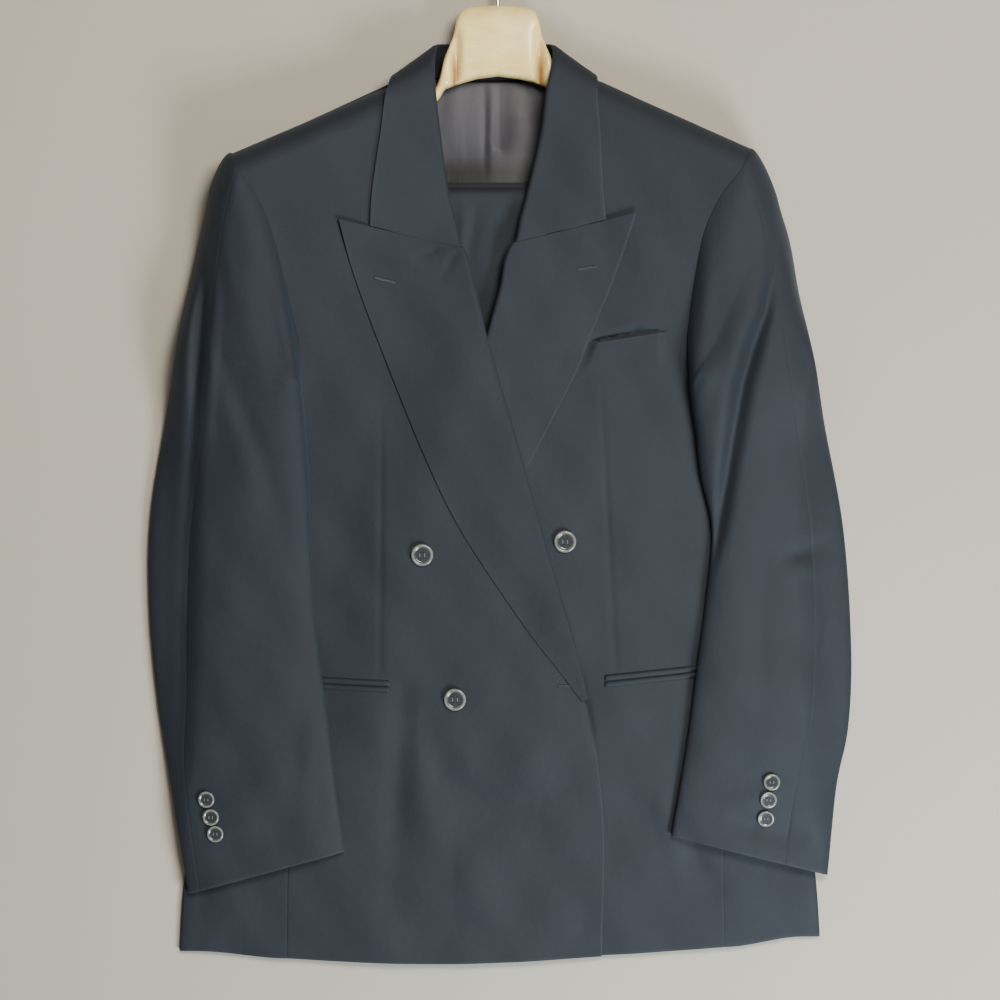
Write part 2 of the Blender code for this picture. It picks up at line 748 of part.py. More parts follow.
def hanger():
    """The wooden body: closed sections across it, from the end of one arm to the end of the other."""
    outward = list(zip(*(HANGER[c] for c in ("x", "top", "bottom", "low", "high"))))
    sections = [(-x, *rest) for x, *rest in outward[:0:-1]] + outward
    rings = []
    for x, top, bottom, low, high in sections:
        square = mix(0.55, 1.0, ease((abs(x) - 40) / 30))  # the neck is squarer than the arms
        ring = []
        for k in range(14):
            turn = 2 * math.pi * (k + 0.5) / 14
            reach, rise = (math.copysign(abs(f(turn)) ** square, f(turn)) for f in (math.cos, math.sin))
            up = (top + bottom) / 2 + (top - bottom) / 2 * reach
            ring.append((NECK_X + x, up, (low + high) / 2 + (high - low) / 2 * rise))
        rings.append(ring)
    return ringed("hanger_body", rings, MAPLE)


def rod(name, points, radius, material, sides):
    """A round rod along points, with flat ends."""
    curve = bpy.data.curves.new(name, "CURVE")
    curve.dimensions = "3D"
    curve.bevel_depth = radius * MM
    curve.bevel_resolution = sides
    curve.use_fill_caps = True
    curve.render_resolution_u = 0
    spline = curve.splines.new("POLY")
    spline.points.add(len(points) - 1)
    for spot, point in zip(spline.points, points):
        spot.co = (*place(*point), 1)
    curve.materials.append(material)
    made = bpy.data.objects.new(name, curve)
    bpy.context.collection.objects.link(made)
    return made


def hook_path():
    """The hook: a stem out of the neck, a bend to one side, and most of a circle back over it."""
    x, foot, high = NECK_X, 864.4, 19.9
    radius, stem = 19.0, 12.0
    start = math.radians(-55)
    middle = LENGTH - radius - WIRE_RADIUS
    points = [(x, foot, high), (x, foot + stem * 0.6, high), (x + 0.8, foot + stem, high)]
    bend = (x + radius * math.cos(start), middle + radius * math.sin(start))
    points.append((mix(x, bend[0], 0.45), mix(foot + stem, bend[1], 0.5), high))
    for k in range(19):
        turn = start + math.radians(258) * k / 18
        points.append((x + radius * math.cos(turn), middle + radius * math.sin(turn), high))
    return points


def stack_path():
    """The middle of the trousers' folded cloth: from the hems, over the bar, to the waist."""
    top = [(HEM_END, 8.9), (300, 9.3), (420, 10), (520, 11.5), (580, 14.5), (630, 19), (665, 23)]
    round_bar = BAR_RADIUS + 0.4 + STACK / 2
    bar = [
        (BAR_UP + round_bar * math.sin(turn), BAR_HIGH + round_bar * math.cos(turn))
        for turn in (math.pi * k / 8 for k in range(9))
    ]
    below = [(668, 8.2), (635, 6.0), (600, 4.6), (560, 4.1), (440, 4.1), (320, 4.1), (WAIST_END, 4.1)]
    return top + bar + below


def layered_ring(half, x, up, z, slope_up, slope_z):
    """A section across the folded trousers: flat faces, and four rounded layers at each edge."""
    side = [(half - inset, STACK * (k / 8 - 0.5)) for k, inset in enumerate(STACK_EDGE)]
    outline = side + [(-a, b) for a, b in reversed(side)]
    return [(x + a, up + b * slope_up, z + b * slope_z) for a, b in outline]


def trousers():
    path = stack_path()
    steps = [math.dist(a, b) for a, b in zip(path, path[1:])]
    along = [sum(steps[:i]) / sum(steps) for i in range(len(path))]
    rings = []
    for i, (up, z) in enumerate(path):
        before, after = path[max(i - 1, 0)], path[min(i + 1, len(path) - 1)]
        run = math.dist(before, after)
        slope_up, slope_z = (before[1] - after[1]) / run, (after[0] - before[0]) / run
        half = through(TROUSERS, "along", along[i], "half_width")
        rings.append(layered_ring(half, TROUSERS_X, up, z, slope_up, slope_z))
    return ringed("trouser_legs", rings, SUITING)


def waistband():
    half = TROUSERS["half_width"][-1]
    heights = [WAIST_END - SEAM - WAISTBAND * k / 2 for k in range(3)]
    rings = [layered_ring(half, TROUSERS_X, up, 4.1, 0, -1) for up in heights]
    return ringed("trouser_waistband", rings, SUITING)


# Jacket body.
right_front = front(FRONT_RIGHT, EDGE_RIGHT, LAPEL_RIGHT, RIGHT, right_top, 6.0)
left_front = front(FRONT_LEFT, EDGE_LEFT, LAPEL_LEFT, LEFT, left_top, 5.4)
cloth("front_right", right_front, 11, 25)
cloth("front_left", left_front, 11, 25)
cloth("back_right", back(RIGHT), 10, 16)
cloth("back_left", back(LEFT), 10, 16)
cloth("side_body_right", side_body(RIGHT, FRONT_RIGHT, 11.4), 12, 8)
cloth("side_body_left", side_body(LEFT, FRONT_LEFT, 24.5), 12, 8)
cloth("lapel_right", lapel(LAPEL_RIGHT, EDGE_RIGHT, RIGHT, right_top), 9, 16)
cloth("lapel_left", lapel(LAPEL_LEFT, EDGE_LEFT, LEFT, left_top), 9, 16)
cloth("collar_right", collar(RIGHT, right_top, LAPEL_RIGHT, EDGE_RIGHT), 11, 16)
cloth("collar_left", collar(LEFT, left_top, LAPEL_LEFT, EDGE_LEFT), 11, 16)

# The back lining where it shows at the neck, with its pleat down the middle.
PLEAT_X, PLEAT_HIGH = -11.0, 1.8


def back_lining(u, v):
    x = NECK_X + mix(-58, 56, u)
    near = abs(u - 0.5) * 20
    if near < 1.5:
        x = PLEAT_X + (u - 0.5) * 20 * 2.2
    up = mix(676, 797, v)
    return x, up, back_low(x, up) + WALL / 2 + 3 * SEAM + LINING_WALL / 2 + PLEAT_HIGH * max(1 - near, 0)


cloth("back_lining", back_lining, 20, 5, LINING_WALL, LINING)

# Sleeves, each with its three buttons beside the hind seam.
CUFF_BUTTONS = table(
    "right_x right_up left_x left_up",
    (-264, 150, 244, 166),
    (-260, 134, 241, 150),
    (-256, 119, 239, 133),
)
for word, side, rows, lines, surface, front_point in (
    ("right", RIGHT, SLEEVE_RIGHT, SLEEVE_FOLDS_RIGHT, right_top, right_front),
    ("left", LEFT, SLEEVE_LEFT, SLEEVE_FOLDS_LEFT, left_top, left_front),
):
    tube = sleeve(rows, side, lines, surface, front_point, back(side))
    cloth(f"top_sleeve_{word}", top_sleeve(rows, tube), 9, 20)
    cloth(f"under_sleeve_{word}", under_sleeve(rows, tube), 11, 20)
    for k, (x, up) in enumerate(zip(CUFF_BUTTONS[word + "_x"], CUFF_BUTTONS[word + "_up"]), 1):
        button_on(f"cuff_button_{word}_{k}", lambda a, b: height_on(tube, a, b), x, up, CUFF_BUTTON)

# Pockets: two jets each, and the chest welt, whose top edge stands open a little.
JET_HIGH, JET_WALL, JET_LIFT = 4.6, 1.2, WALL / 2 + 2 * SEAM + 0.6
POCKETS = table("side x0 up0 x1 up1", (RIGHT, -99, 251, -165, 254), (LEFT, 94, 256, 181, 265))
for side, x0, up0, x1, up1 in zip(*POCKETS.values()):
    word, surface = ("right", right_top) if side == RIGHT else ("left", left_top)
    for place_word, offset in (("lower", -JET_HIGH - SEAM / 2), ("upper", SEAM / 2)):
        low, high = offset, offset + JET_HIGH
        corners = [(x0, up0 + low), (x1, up1 + low), (x0, up0 + high), (x1, up1 + high)]
        cloth(f"pocket_{word}_{place_word}_jet", strip(surface, corners, JET_LIFT), 6, 1, JET_WALL)
WELT = [(68, 528), (150, 540), (80, 561), (149, 570)]
cloth("chest_welt", strip(left_top, WELT, JET_LIFT, 2.6), 7, 2, JET_WALL)

# Front buttons.
button_on("front_button_upper_right", right_top, -70, 370, FRONT_BUTTON)
button_on("front_button_lower_right", right_top, -40.5, 240, FRONT_BUTTON)
button_on("front_button_upper_left", left_top, 58.5, 382, FRONT_BUTTON)

# Hanger and trousers.
hanger()
BAR_ENDS = [NECK_X - 182.5, NECK_X + 182.5]
rod("hanger_bar", [(x, BAR_UP, BAR_HIGH) for x in BAR_ENDS], BAR_RADIUS, MAPLE, 3)
rod("hanger_hook", hook_path(), WIRE_RADIUS, STEEL, 2)
trousers()
waistband()
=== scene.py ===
"""The looks of a two-piece suit, laid flat on its back over a wooden hanger.

X is across the shoulders, Y runs from the hem up to the hook, and Z is up out of the floor. Lengths in
tables and points are millimetres: `x` from the middle of the jacket, `up` from the lowest point of the
hem. "Right" and "left" are the wearer's, so the right half lies at -X.
"""

import math

import bmesh
import bpy
import numpy as np
from mathutils import Matrix, Vector


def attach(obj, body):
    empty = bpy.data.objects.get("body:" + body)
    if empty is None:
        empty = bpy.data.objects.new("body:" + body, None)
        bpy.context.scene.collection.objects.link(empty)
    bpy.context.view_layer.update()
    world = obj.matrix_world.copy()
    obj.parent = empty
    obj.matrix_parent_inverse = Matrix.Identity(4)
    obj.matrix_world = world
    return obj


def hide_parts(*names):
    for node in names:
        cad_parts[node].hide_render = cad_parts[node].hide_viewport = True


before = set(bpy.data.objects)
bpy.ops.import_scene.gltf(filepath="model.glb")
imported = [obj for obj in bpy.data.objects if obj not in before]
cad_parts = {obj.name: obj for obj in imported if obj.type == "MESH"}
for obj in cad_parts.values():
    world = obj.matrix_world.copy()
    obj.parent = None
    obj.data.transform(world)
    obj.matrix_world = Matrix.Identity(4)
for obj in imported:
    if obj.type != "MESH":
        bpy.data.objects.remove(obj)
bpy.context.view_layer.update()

# ---- Hanger body ----
# A contoured jacket hanger: two arms and a broad neck, shaped from one piece of maple, sanded, and
# sprayed with a clear gloss varnish. It is painted darker and warmer in the flutes beside the neck: partly
# varnish pooled there, partly painted shade.

MM = 0.001
LENGTH = 921.2
NECK_X = -2.0


def table(columns, *rows):
    """Rows of numbers under named columns."""
    return {name: np.array(column, float) for name, column in zip(columns.split(), zip(*rows))}


def through(rows, key, at, column):
    """The smooth curve through a table's column, read where its key column has the value at."""
    knots, values = rows[key], rows[column]
    slopes = np.gradient(values, knots)
    at = np.clip(at, knots[0], knots[-1])
    i = np.clip(np.searchsorted(knots, at) - 1, 0, len(knots) - 2)
    span = knots[i + 1] - knots[i]
    t = (at - knots[i]) / span
    return (
        (1 + 2 * t) * (1 - t) ** 2 * values[i]
        + t * (1 - t) ** 2 * span * slopes[i]
        + t * t * (3 - 2 * t) * values[i + 1]
        + t * t * (t - 1) * span * slopes[i + 1]
    )


def ease(t):
    t = np.clip(t, 0.0, 1.0)
    return t * t * (3 - 2 * t)


def mix(a, b, t):
    return a + (b - a) * t


def place(x, up, z):
    """Points of the tables, in the part's own frame."""
    x, up, z = np.broadcast_arrays(x, up, z)
    return np.stack((x * MM, (up - LENGTH / 2) * MM, z * MM), -1)


def lay(mesh, point, cut, free=""):
    """Lays a flat grid on point(u, v). Its UV map is the place on the cut, in metres, and the attribute
    from_edge is how far in it is from a free edge: free names them, L and R along u, B and T along v."""
    threads = mesh.loops.layers.uv.new("cut")
    from_edge = mesh.verts.layers.float.new("from_edge")
    shares = np.array([vert.co[:2] for vert in mesh.verts]) + 0.5
    spots = place(*point(*shares.T))
    for vert, spot, (u, v) in zip(mesh.verts, spots, shares):
        vert.co = spot
        inset = {"L": u * cut[0], "R": (1 - u) * cut[0], "B": v * cut[1], "T": (1 - v) * cut[1]}
        vert[from_edge] = min((inset[side] for side in free), default=1.0)
    mesh.verts.ensure_lookup_table()
    for face in mesh.faces:
        for loop in face.loops:
            loop[threads].uv = shares[loop.vert.index] * cut


def tube(point, around, along, cut):
    """A closed solid: a grid rolled up until its sides meet, with both ends filled."""
    mesh = bmesh.new()
    bmesh.ops.create_grid(mesh, x_segments=around, y_segments=along, size=0.5)
    lay(mesh, point, cut)
    bmesh.ops.remove_doubles(mesh, verts=mesh.verts, dist=0.000002)
    bmesh.ops.holes_fill(mesh, edges=[edge for edge in mesh.edges if edge.is_boundary], sides=0)
    bmesh.ops.recalc_face_normals(mesh, faces=mesh.faces)
    return mesh


def piece(name, mesh, material, nodes=(), sharp=50):
    data = bpy.data.meshes.new(name)
    mesh.to_mesh(data)
    mesh.free()
    data.materials.append(material)
    data.shade_smooth()
    data.set_sharp_from_angle(angle=math.radians(sharp))
    made = bpy.data.objects.new(name, data)
    bpy.context.collection.objects.link(made)
    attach(made, "root")
    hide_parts(*nodes)
    return made


def linear(code):
    """An sRGB hex colour, as the shader's linear one."""
    shares = [int(code[i : i + 2], 16) / 255 for i in (0, 2, 4)]
    return (*(s / 12.92 if s <= 0.04045 else ((s + 0.055) / 1.055) ** 2.4 for s in shares), 1.0)


def node(material, kind, output, inputs=None, **settings):
    """Adds a node and gives its output. inputs maps a socket to its value, or to the output that drives
    it, and a colour's value is its hex code."""
    made = material.node_tree.nodes.new("ShaderNode" + kind)
    for key, value in settings.items():
        setattr(made, key, value)
    for key, value in (inputs or {}).items():
        if isinstance(value, bpy.types.NodeSocket):
            material.node_tree.links.new(value, made.inputs[key])
        else:
            made.inputs[key].default_value = linear(value) if isinstance(value, str) else value
    return made.outputs[output]


def surface_finish(name, color, normal, **values):
    """A material whose Principled shader takes its colour and normal from nodes made by color and
    normal, and its other values as they are."""
    material = bpy.data.materials.new(name)
    material.use_nodes = True
    shader = material.node_tree.nodes["Principled BSDF"]
    for key, value in values.items():
        value = linear(value) if isinstance(value, str) else value
        shader.inputs[key.replace("_", " ")].default_value = value
    material.node_tree.links.new(color(material), shader.inputs["Base Color"])
    material.node_tree.links.new(normal(material), shader.inputs["Normal"])
    return material


# Varnished maple: soft bands of growth, and short fine grain 1 to 2 mm apart that runs along the arms.
# In the flutes beside the neck, most towards its bottom, it is painted darker and warmer: partly varnish
# pooled there, partly painted shade. It has a slight orange peel.
FLUTE_X, FLUTE_DARK_WIDE = 38.5, 4.5


def maple_color(material):
    where = node(material, "TexCoord", "Object")
    along = node(material, "Mapping", 0, {"Vector": where, "Scale": (6, 60, 60)})
    drift = node(material, "TexNoise", 0, {"Vector": along, "Scale": 1.4, "Detail": 4})
    growth = node(material, "TexWave", 1, {"Vector": along, "Scale": 1.6, "Distortion": 5.0, "Detail": 3})
    grain = node(material, "TexNoise", 0, {"Vector": along, "Scale": 22, "Detail": 6})
    pale = node(material, "Mix", 2, {0: drift, 6: "FFF0A4", 7: "F8D478"}, data_type="RGBA")
    banded = node(material, "Mix", 2, {0: growth, 6: pale, 7: "D39A58"}, data_type="RGBA")
    body = node(material, "Mix", 2, {0: 0.22, 6: pale, 7: banded}, data_type="RGBA")
    dark = node(material, "MapRange", 0, {0: grain, 1: 0.45, 2: 0.6, 3: 1.0, 4: 0.0})
    shade = node(material, "Mix", 2, {0: dark, 6: "FFFFFF", 7: "F7F3ED"}, data_type="RGBA")
    wood = node(material, "Mix", 2, {0: 1.0, 6: body, 7: shade}, data_type="RGBA", blend_type="MULTIPLY")
    across = node(material, "SeparateXYZ", "X", {"Vector": where})
    from_neck = node(material, "Math", 0, {0: across, 1: -NECK_X * MM})
    beside = node(material, "Math", 0, {0: from_neck}, operation="ABSOLUTE")
    off = node(material, "Math", 0, {0: beside, 1: FLUTE_X * MM}, operation="SUBTRACT")
    off = node(material, "Math", 0, {0: off}, operation="ABSOLUTE")
    # Painted shade in the flutes beside the neck, with varnish pooled there; strongest low on the neck.
    flute_pool_and_shade = node(material, "MapRange", 0, {0: off, 1: 0.0005, 2: FLUTE_DARK_WIDE * MM, 3: 1.0, 4: 0.0})
    up = node(material, "SeparateXYZ", "Y", {"Vector": where})
    low = node(material, "MapRange", 0, {0: up, 1: 0.345, 2: 0.368, 3: 0.85, 4: 0.15})
    warm = node(material, "Math", 0, {0: flute_pool_and_shade, 1: low}, operation="MULTIPLY")
    return node(material, "Mix", 2, {0: warm, 6: wood, 7: "8A4A1C"}, data_type="RGBA")


def maple_normal(material):
    where = node(material, "TexCoord", "Object")
    peel = node(material, "TexNoise", 0, {"Vector": where, "Scale": 260, "Detail": 2})
    return node(material, "Bump", 0, {"Height": peel, "Strength": 0.12, "Distance": 0.0004})


MAPLE = surface_finish(
    "varnished_maple", maple_color, maple_normal,
    Roughness=0.38, IOR=1.5, Coat_Weight=0.4, Coat_Roughness=0.12,
)

HANGER = table(
    "x top bottom low high",
    (0, 864, 801, 5.8, 34),
    (19, 863, 798.5, 5.8, 34),
    (28, 861.5, 796, 5.8, 34),
    (33, 859, 794.5, 6.2, 34),
    (37, 852, 793, 7.0, 34),
    (39.5, 838, 792, 7.5, 34),
    (44, 826, 790.5, 8.5, 33.5),
    (47.5, 819, 789, 9.0, 33),
    (49.5, 812, 786, 9.5, 33),
    (51.5, 802, 782, 10.0, 32),
    (55, 792, 778, 10.0, 31),
    (60, 788, 773, 10.0, 31),
    (68, 787, 767, 9.0, 33),
    (80, 784, 758, 8.0, 35),
    (100, 777, 744, 5.0, 37.5),
    (130, 764, 726, 3.4, 40.5),
    (165, 749, 710, 2.6, 44),
    (182, 741, 704, 2.6, 45),
    (187, 739, 683, 2.6, 45),
    (193, 735, 681, 2.6, 44),
    (201, 724, 692, 12, 36),
)


def hanger_point(u, v):
    x = 201 * (2 * v - 1)
    at = {c: np.interp(abs(x), HANGER["x"], HANGER[c]) for c in HANGER}
    square = mix(0.55, 1.0, ease((abs(x) - 40) / 30))
    turn = 2 * math.pi * u
    reach, rise = (np.sign(f(turn)) * abs(f(turn)) ** square for f in (np.cos, np.sin))
    up = (at["top"] + at["bottom"]) / 2 + (at["top"] - at["bottom"]) / 2 * reach
    flute = 7.0 * np.exp(-(((abs(x) - 37.5) / 4.0) ** 2)) * ease(rise) * ease((850 - up) / 25)
    return NECK_X + x, up, (at["low"] + at["high"]) / 2 + (at["high"] - at["low"]) / 2 * rise - flute


piece("hanger_wood", tube(hanger_point, 64, 240, (0.12, 0.402)), MAPLE, ["hanger_body"])
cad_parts["hanger_bar"].data.materials[0] = MAPLE

# ---- Hook ----
# Steel wire bent into an open hook with a rounded tip, nickel plated and bright. Its screw end is
# in the hanger's neck.

WIRE_RADIUS = 1.9


# Nickel plate on drawn steel wire: a bright mirror with a faint cloudiness, and fine drawing marks.
def steel_color(material):
    where = node(material, "TexCoord", "Object")
    film = node(material, "TexNoise", 0, {"Vector": where, "Scale": 300, "Detail": 3})
    return node(material, "Mix", 2, {0: film, 6: "D8D6D0", 7: "BDBBB6"}, data_type="RGBA")


def steel_normal(material):
    where = node(material, "TexCoord", "Object")
    drawn = node(material, "TexNoise", 0, {"Vector": where, "Scale": 1500, "Detail": 2})
    return node(material, "Bump", 0, {"Height": drawn, "Strength": 0.05, "Distance": 0.0001})


STEEL = surface_finish("nickel_plated_steel", steel_color, steel_normal, Metallic=1.0, Roughness=0.2)

HOOK_HIGH, HOOK_FOOT, HOOK_RADIUS, HOOK_STEM = 19.9, 864.4, 19.0, 12.0
HOOK_START, HOOK_TURN, HOOK_STEPS = math.radians(-55), math.radians(258), 36
hook_middle = LENGTH - HOOK_RADIUS - WIRE_RADIUS
stem_top = HOOK_FOOT + HOOK_STEM
hook_line = [(NECK_X, HOOK_FOOT), (NECK_X, HOOK_FOOT + HOOK_STEM * 0.6), (NECK_X + 0.8, stem_top)]
bend_x, bend_up = HOOK_RADIUS * math.cos(HOOK_START), hook_middle + HOOK_RADIUS * math.sin(HOOK_START)
hook_line.append((mix(NECK_X, NECK_X + bend_x, 0.45), mix(stem_top, bend_up, 0.5)))
for k in range(HOOK_STEPS + 1):
    turn = HOOK_START + HOOK_TURN * k / HOOK_STEPS
    hook_line.append((NECK_X + HOOK_RADIUS * math.cos(turn), hook_middle + HOOK_RADIUS * math.sin(turn)))
hook_steps = np.cumsum([0] + [math.dist(a, b) for a, b in zip(hook_line, hook_line[1:])])
HOOK = table("along x up", *((s, *p) for s, p in zip(hook_steps, hook_line)))


def hook_point(u, v):
    """The wire, which narrows to a round tip at its open end."""
    along = v * hook_steps[-1]
    x, up = through(HOOK, "along", along, "x"), through(HOOK, "along", along, "up")
    dx = through(HOOK, "along", along + 0.5, "x") - through(HOOK, "along", along - 0.5, "x")
    dup = through(HOOK, "along", along + 0.5, "up") - through(HOOK, "along", along - 0.5, "up")
    run = np.hypot(dx, dup)
    end = np.clip((hook_steps[-1] - along) / WIRE_RADIUS, 0.02, 1)
    radius = WIRE_RADIUS * np.sqrt(1 - (1 - end) ** 2)
    turn = 2 * math.pi * u
    side, rise = radius * np.cos(turn), radius * np.sin(turn)
    return x - dup / run * side, up + dx / run * side, HOOK_HIGH + rise


piece("hook_wire", tube(hook_point, 20, 160, (0.012, 0.13)), STEEL, ["hanger_hook"])

# ---- Trousers ----
# Wool trousers laid flat along their creases and folded once over the hanger's bar, hems in front.
# Four layers of cloth lie together; only their folded tops show between the lapels.


# Worsted wool: a fine, dry twill in blue-black. Its ribs cross on the bias and are drawn 0.85 mm apart, a
# little coarser than the real 0.6 mm. The cloth is dull, lifts to a soft bloom where it turns away, and
# its pressed edges are a little rubbed.
def twill_ribs(material):
    cut = node(material, "UVMap", 0, uv_map="cut")
    ribs = {"Vector": cut, "Scale": 520, "Distortion": 1.2, "Detail": 2, "Detail Scale": 2}
    return cut, node(material, "TexWave", 1, ribs, bands_direction="DIAGONAL")


def suiting_color(material):
    cut, ribs = twill_ribs(material)
    where = node(material, "TexCoord", "Object")
    fibre = node(material, "TexNoise", 0, {"Vector": cut, "Scale": 2400, "Detail": 3})
    shade = node(material, "TexNoise", 0, {"Vector": where, "Scale": 9, "Detail": 5, "Roughness": 0.6})
    warp = node(material, "Mix", 2, {0: shade, 6: "0D1014", 7: "15181C"}, data_type="RGBA")
    weft = node(material, "Mix", 2, {0: shade, 6: "161B22", 7: "1E242A"}, data_type="RGBA")
    woven = node(material, "Mix", 2, {0: ribs, 6: warp, 7: weft}, data_type="RGBA")
    slub = node(material, "MapRange", 0, {0: fibre, 1: 0.35, 2: 0.75, 3: 0.0, 4: 0.35})
    lint = node(material, "Mix", 2, {0: slub, 6: woven, 7: "262C34"}, data_type="RGBA")
    edge = node(material, "Attribute", "Fac", attribute_name="from_edge")
    wear_and_painted_shadow = node(material, "MapRange", 0, {0: edge, 1: 0.0, 2: 0.0022, 3: 0.3, 4: 0.0})
    return node(material, "Mix", 2, {0: wear_and_painted_shadow, 6: lint, 7: "2F353D"}, data_type="RGBA")


def suiting_normal(material):
    cut, ribs = twill_ribs(material)
    where = node(material, "TexCoord", "Object")
    fibre = node(material, "TexNoise", 0, {"Vector": cut, "Scale": 1600, "Detail": 3})
    rumple = node(material, "TexNoise", 0, {"Vector": where, "Scale": 38, "Detail": 4, "Roughness": 0.55})
    weave = node(material, "Bump", 0, {"Height": ribs, "Strength": 0.35, "Distance": 0.00012})
    hairy = node(material, "Bump", 0, {"Height": fibre, "Strength": 0.5, "Distance": 0.0002, "Normal": weave})
    return node(material, "Bump", 0, {"Height": rumple, "Strength": 0.5, "Distance": 0.0016, "Normal": hairy})


SUITING = surface_finish(
    "worsted_wool_twill", suiting_color, suiting_normal,
    Roughness=0.7, Specular_IOR_Level=0.36, Sheen_Weight=0.12, Sheen_Roughness=0.5, Sheen_Tint="7E8FA6",
)

BAR_UP, BAR_HIGH, BAR_RADIUS = 695.6, 18.0, 5.5
STACK = 4.4
HEM_END, WAIST_END, WAISTBAND = 178.0, 196.0, 38.0
TROUSERS_X = -6.0
LEG_LAYERS = 4
LAYER_ROUND = 1.1
TROUSERS = table(
    "along half_width",
    (0.0, 104),
    (0.35, 114),
    (0.5, 121),
    (0.65, 140),
    (0.85, 176),
    (1.0, 190),
)
round_bar = BAR_RADIUS + 0.4 + STACK / 2
stack_line = [(HEM_END, 8.9), (300, 9.3), (420, 10), (520, 11.5), (580, 14.5), (630, 19), (665, 23)]
stack_line += [
    (BAR_UP + round_bar * math.sin(turn), BAR_HIGH + round_bar * math.cos(turn))
    for turn in (math.pi * k / 8 for k in range(9))
]
stack_line += [(668, 8.2), (635, 6.0), (600, 4.6), (560, 4.1), (440, 4.1), (320, 4.1), (WAIST_END, 4.1)]
stack_steps = np.cumsum([0] + [math.dist(a, b) for a, b in zip(stack_line, stack_line[1:])])
STACK_LINE = table("along up z", *((s / stack_steps[-1], *p) for s, p in zip(stack_steps, stack_line)))


def folds(x, up, lines):
    """How far soft folds raise the cloth at a point. Each line is a table of x, up, rise and width, and
    where lines of one sign meet, the stronger one counts."""
    ridge, valley = (np.zeros(np.broadcast(x, up).shape) for _ in range(2))
    for line in lines:
        nearest, rise = np.full(ridge.shape, np.inf), np.zeros(ridge.shape)
        points = list(zip(*line.values()))
        for (x0, up0, rise0, width0), (x1, up1, rise1, width1) in zip(points, points[1:]):
            run, climb = x1 - x0, up1 - up0
            along = np.clip(((x - x0) * run + (up - up0) * climb) / (run * run + climb * climb), 0.0, 1.0)
            away = np.hypot(x - x0 - along * run, up - up0 - along * climb)
            here = mix(rise0, rise1, along) * np.exp(-((away / mix(width0, width1, along)) ** 2))
            rise, nearest = np.where(away < nearest, here, rise), np.minimum(away, nearest)
        ridge, valley = np.maximum(ridge, rise), np.minimum(valley, rise)
    return ridge + valley


def fold(*points):
    return table("x up rise width", *points)


# Soft breaks in the folded cloth just below the bar.
TROUSER_FOLDS = (
    fold((-41, 694, -1.2, 3), (-41, 680, -2.2, 4), (-39, 655, -1.4, 5), (-36, 630, 0, 5)),
    fold((-20, 694, -0.8, 3), (-21, 680, -2.4, 5), (-29, 646, -1.6, 6), (-33, 620, 0, 6)),
    fold((-31, 694, 0.6, 5), (-32, 676, 1.4, 6), (-35, 630, 0.4, 7)),
    fold((-8, 690, 0.5, 7), (-14, 610, 0.9, 10)),
    fold((9, 692, -0.4, 6), (2, 640, -0.9, 9)),
)


def layered(u):
    """A section across folded cloth, from -1 to 1 across and through: flat faces, and a rounded edge to
    each layer."""
    face, side = 0.44, 0.5
    run = np.where(u < side, u, u - side)
    across = np.where(run < face, 2 * run / face - 1, 1.0)
    through_it = np.where(run < face, 1.0, 1 - 2 * (run - face) / (side - face))
    layers = abs(np.sin(LEG_LAYERS * math.pi * (through_it + 1) / 2))
    inset = np.where(run < face, 0.0, LAYER_ROUND * (1 - layers))
    inset = np.where((run < face) & (abs(across) == 1), LAYER_ROUND, inset)
    flip = np.where(u < side, 1, -1)
    return across * flip, through_it * flip, inset


def legs_point(u, v):
    across, through_it, inset = layered(u)
    up, z = (through(STACK_LINE, "along", v, c) for c in ("up", "z"))
    step = 0.004
    slope_z = through(STACK_LINE, "along", v + step, "up") - through(STACK_LINE, "along", v - step, "up")
    slope_up = through(STACK_LINE, "along", v - step, "z") - through(STACK_LINE, "along", v + step, "z")
    run = np.hypot(slope_up, slope_z)
    half = through(TROUSERS, "along", v, "half_width")
    x = TROUSERS_X + across * (half - inset)
    in_front = (through_it > 0.9) * ease((0.5 - v) / 0.06)
    lift = STACK / 2 * through_it + folds(x, up, TROUSER_FOLDS) * in_front
    return x, up - lift * slope_up / run, z + lift * slope_z / run


legs = piece(
    "trouser_legs_cloth", tube(legs_point, 200, 170, (0.48, 1.04)), SUITING, ["trouser_legs"]
)


def waistband_point(u, v):
    across, through_it, inset = layered(u)
    x = TROUSERS_X + across * (TROUSERS["half_width"][-1] - inset)
    return x, WAIST_END - 0.3 - WAISTBAND * v, 4.1 + STACK / 2 * through_it


band = piece(
    "waistband_cloth", tube(waistband_point, 200, 16, (0.76, WAISTBAND * MM)), SUITING,
    ["trouser_waistband"],
)

# ---- Back ----
# The jacket's back, two cuts of worsted wool joined down the middle. It lies on the floor, and rounds
# up at its top over the back of the hanger to the shoulder seam.

WALL = 1.6
SEAM = 0.3
RIGHT, LEFT = -1, 1
SHOULDER_SLOPE = math.radians(25.0)
NECK_HALF, NECK_UP = 108.4, 788.0
SHOULDER_ROLL = 22.0
BACK_ROLL = 3 / 16
FALL_LIFT = 2.4
BACK = table(
    "row right_x left_x outer_up inner_up",
    (0, 215, 215, 24, 24),
    (1, 213, 213, 77, 77),
    (2, 208, 208, 190, 190),
    (3, 204, 204, 276, 276),
    (4, 203, 203, 383, 383),
    (5, 206, 206, 464, 470),
    (6, 205, 204, 508, 530),
    (7, 203, 198, 560, 600),
    (8, 208, 196, 620, 680),
    (9, 218, 203, 675, 750),
    (10, 230.5, 215, 711, 786),
)


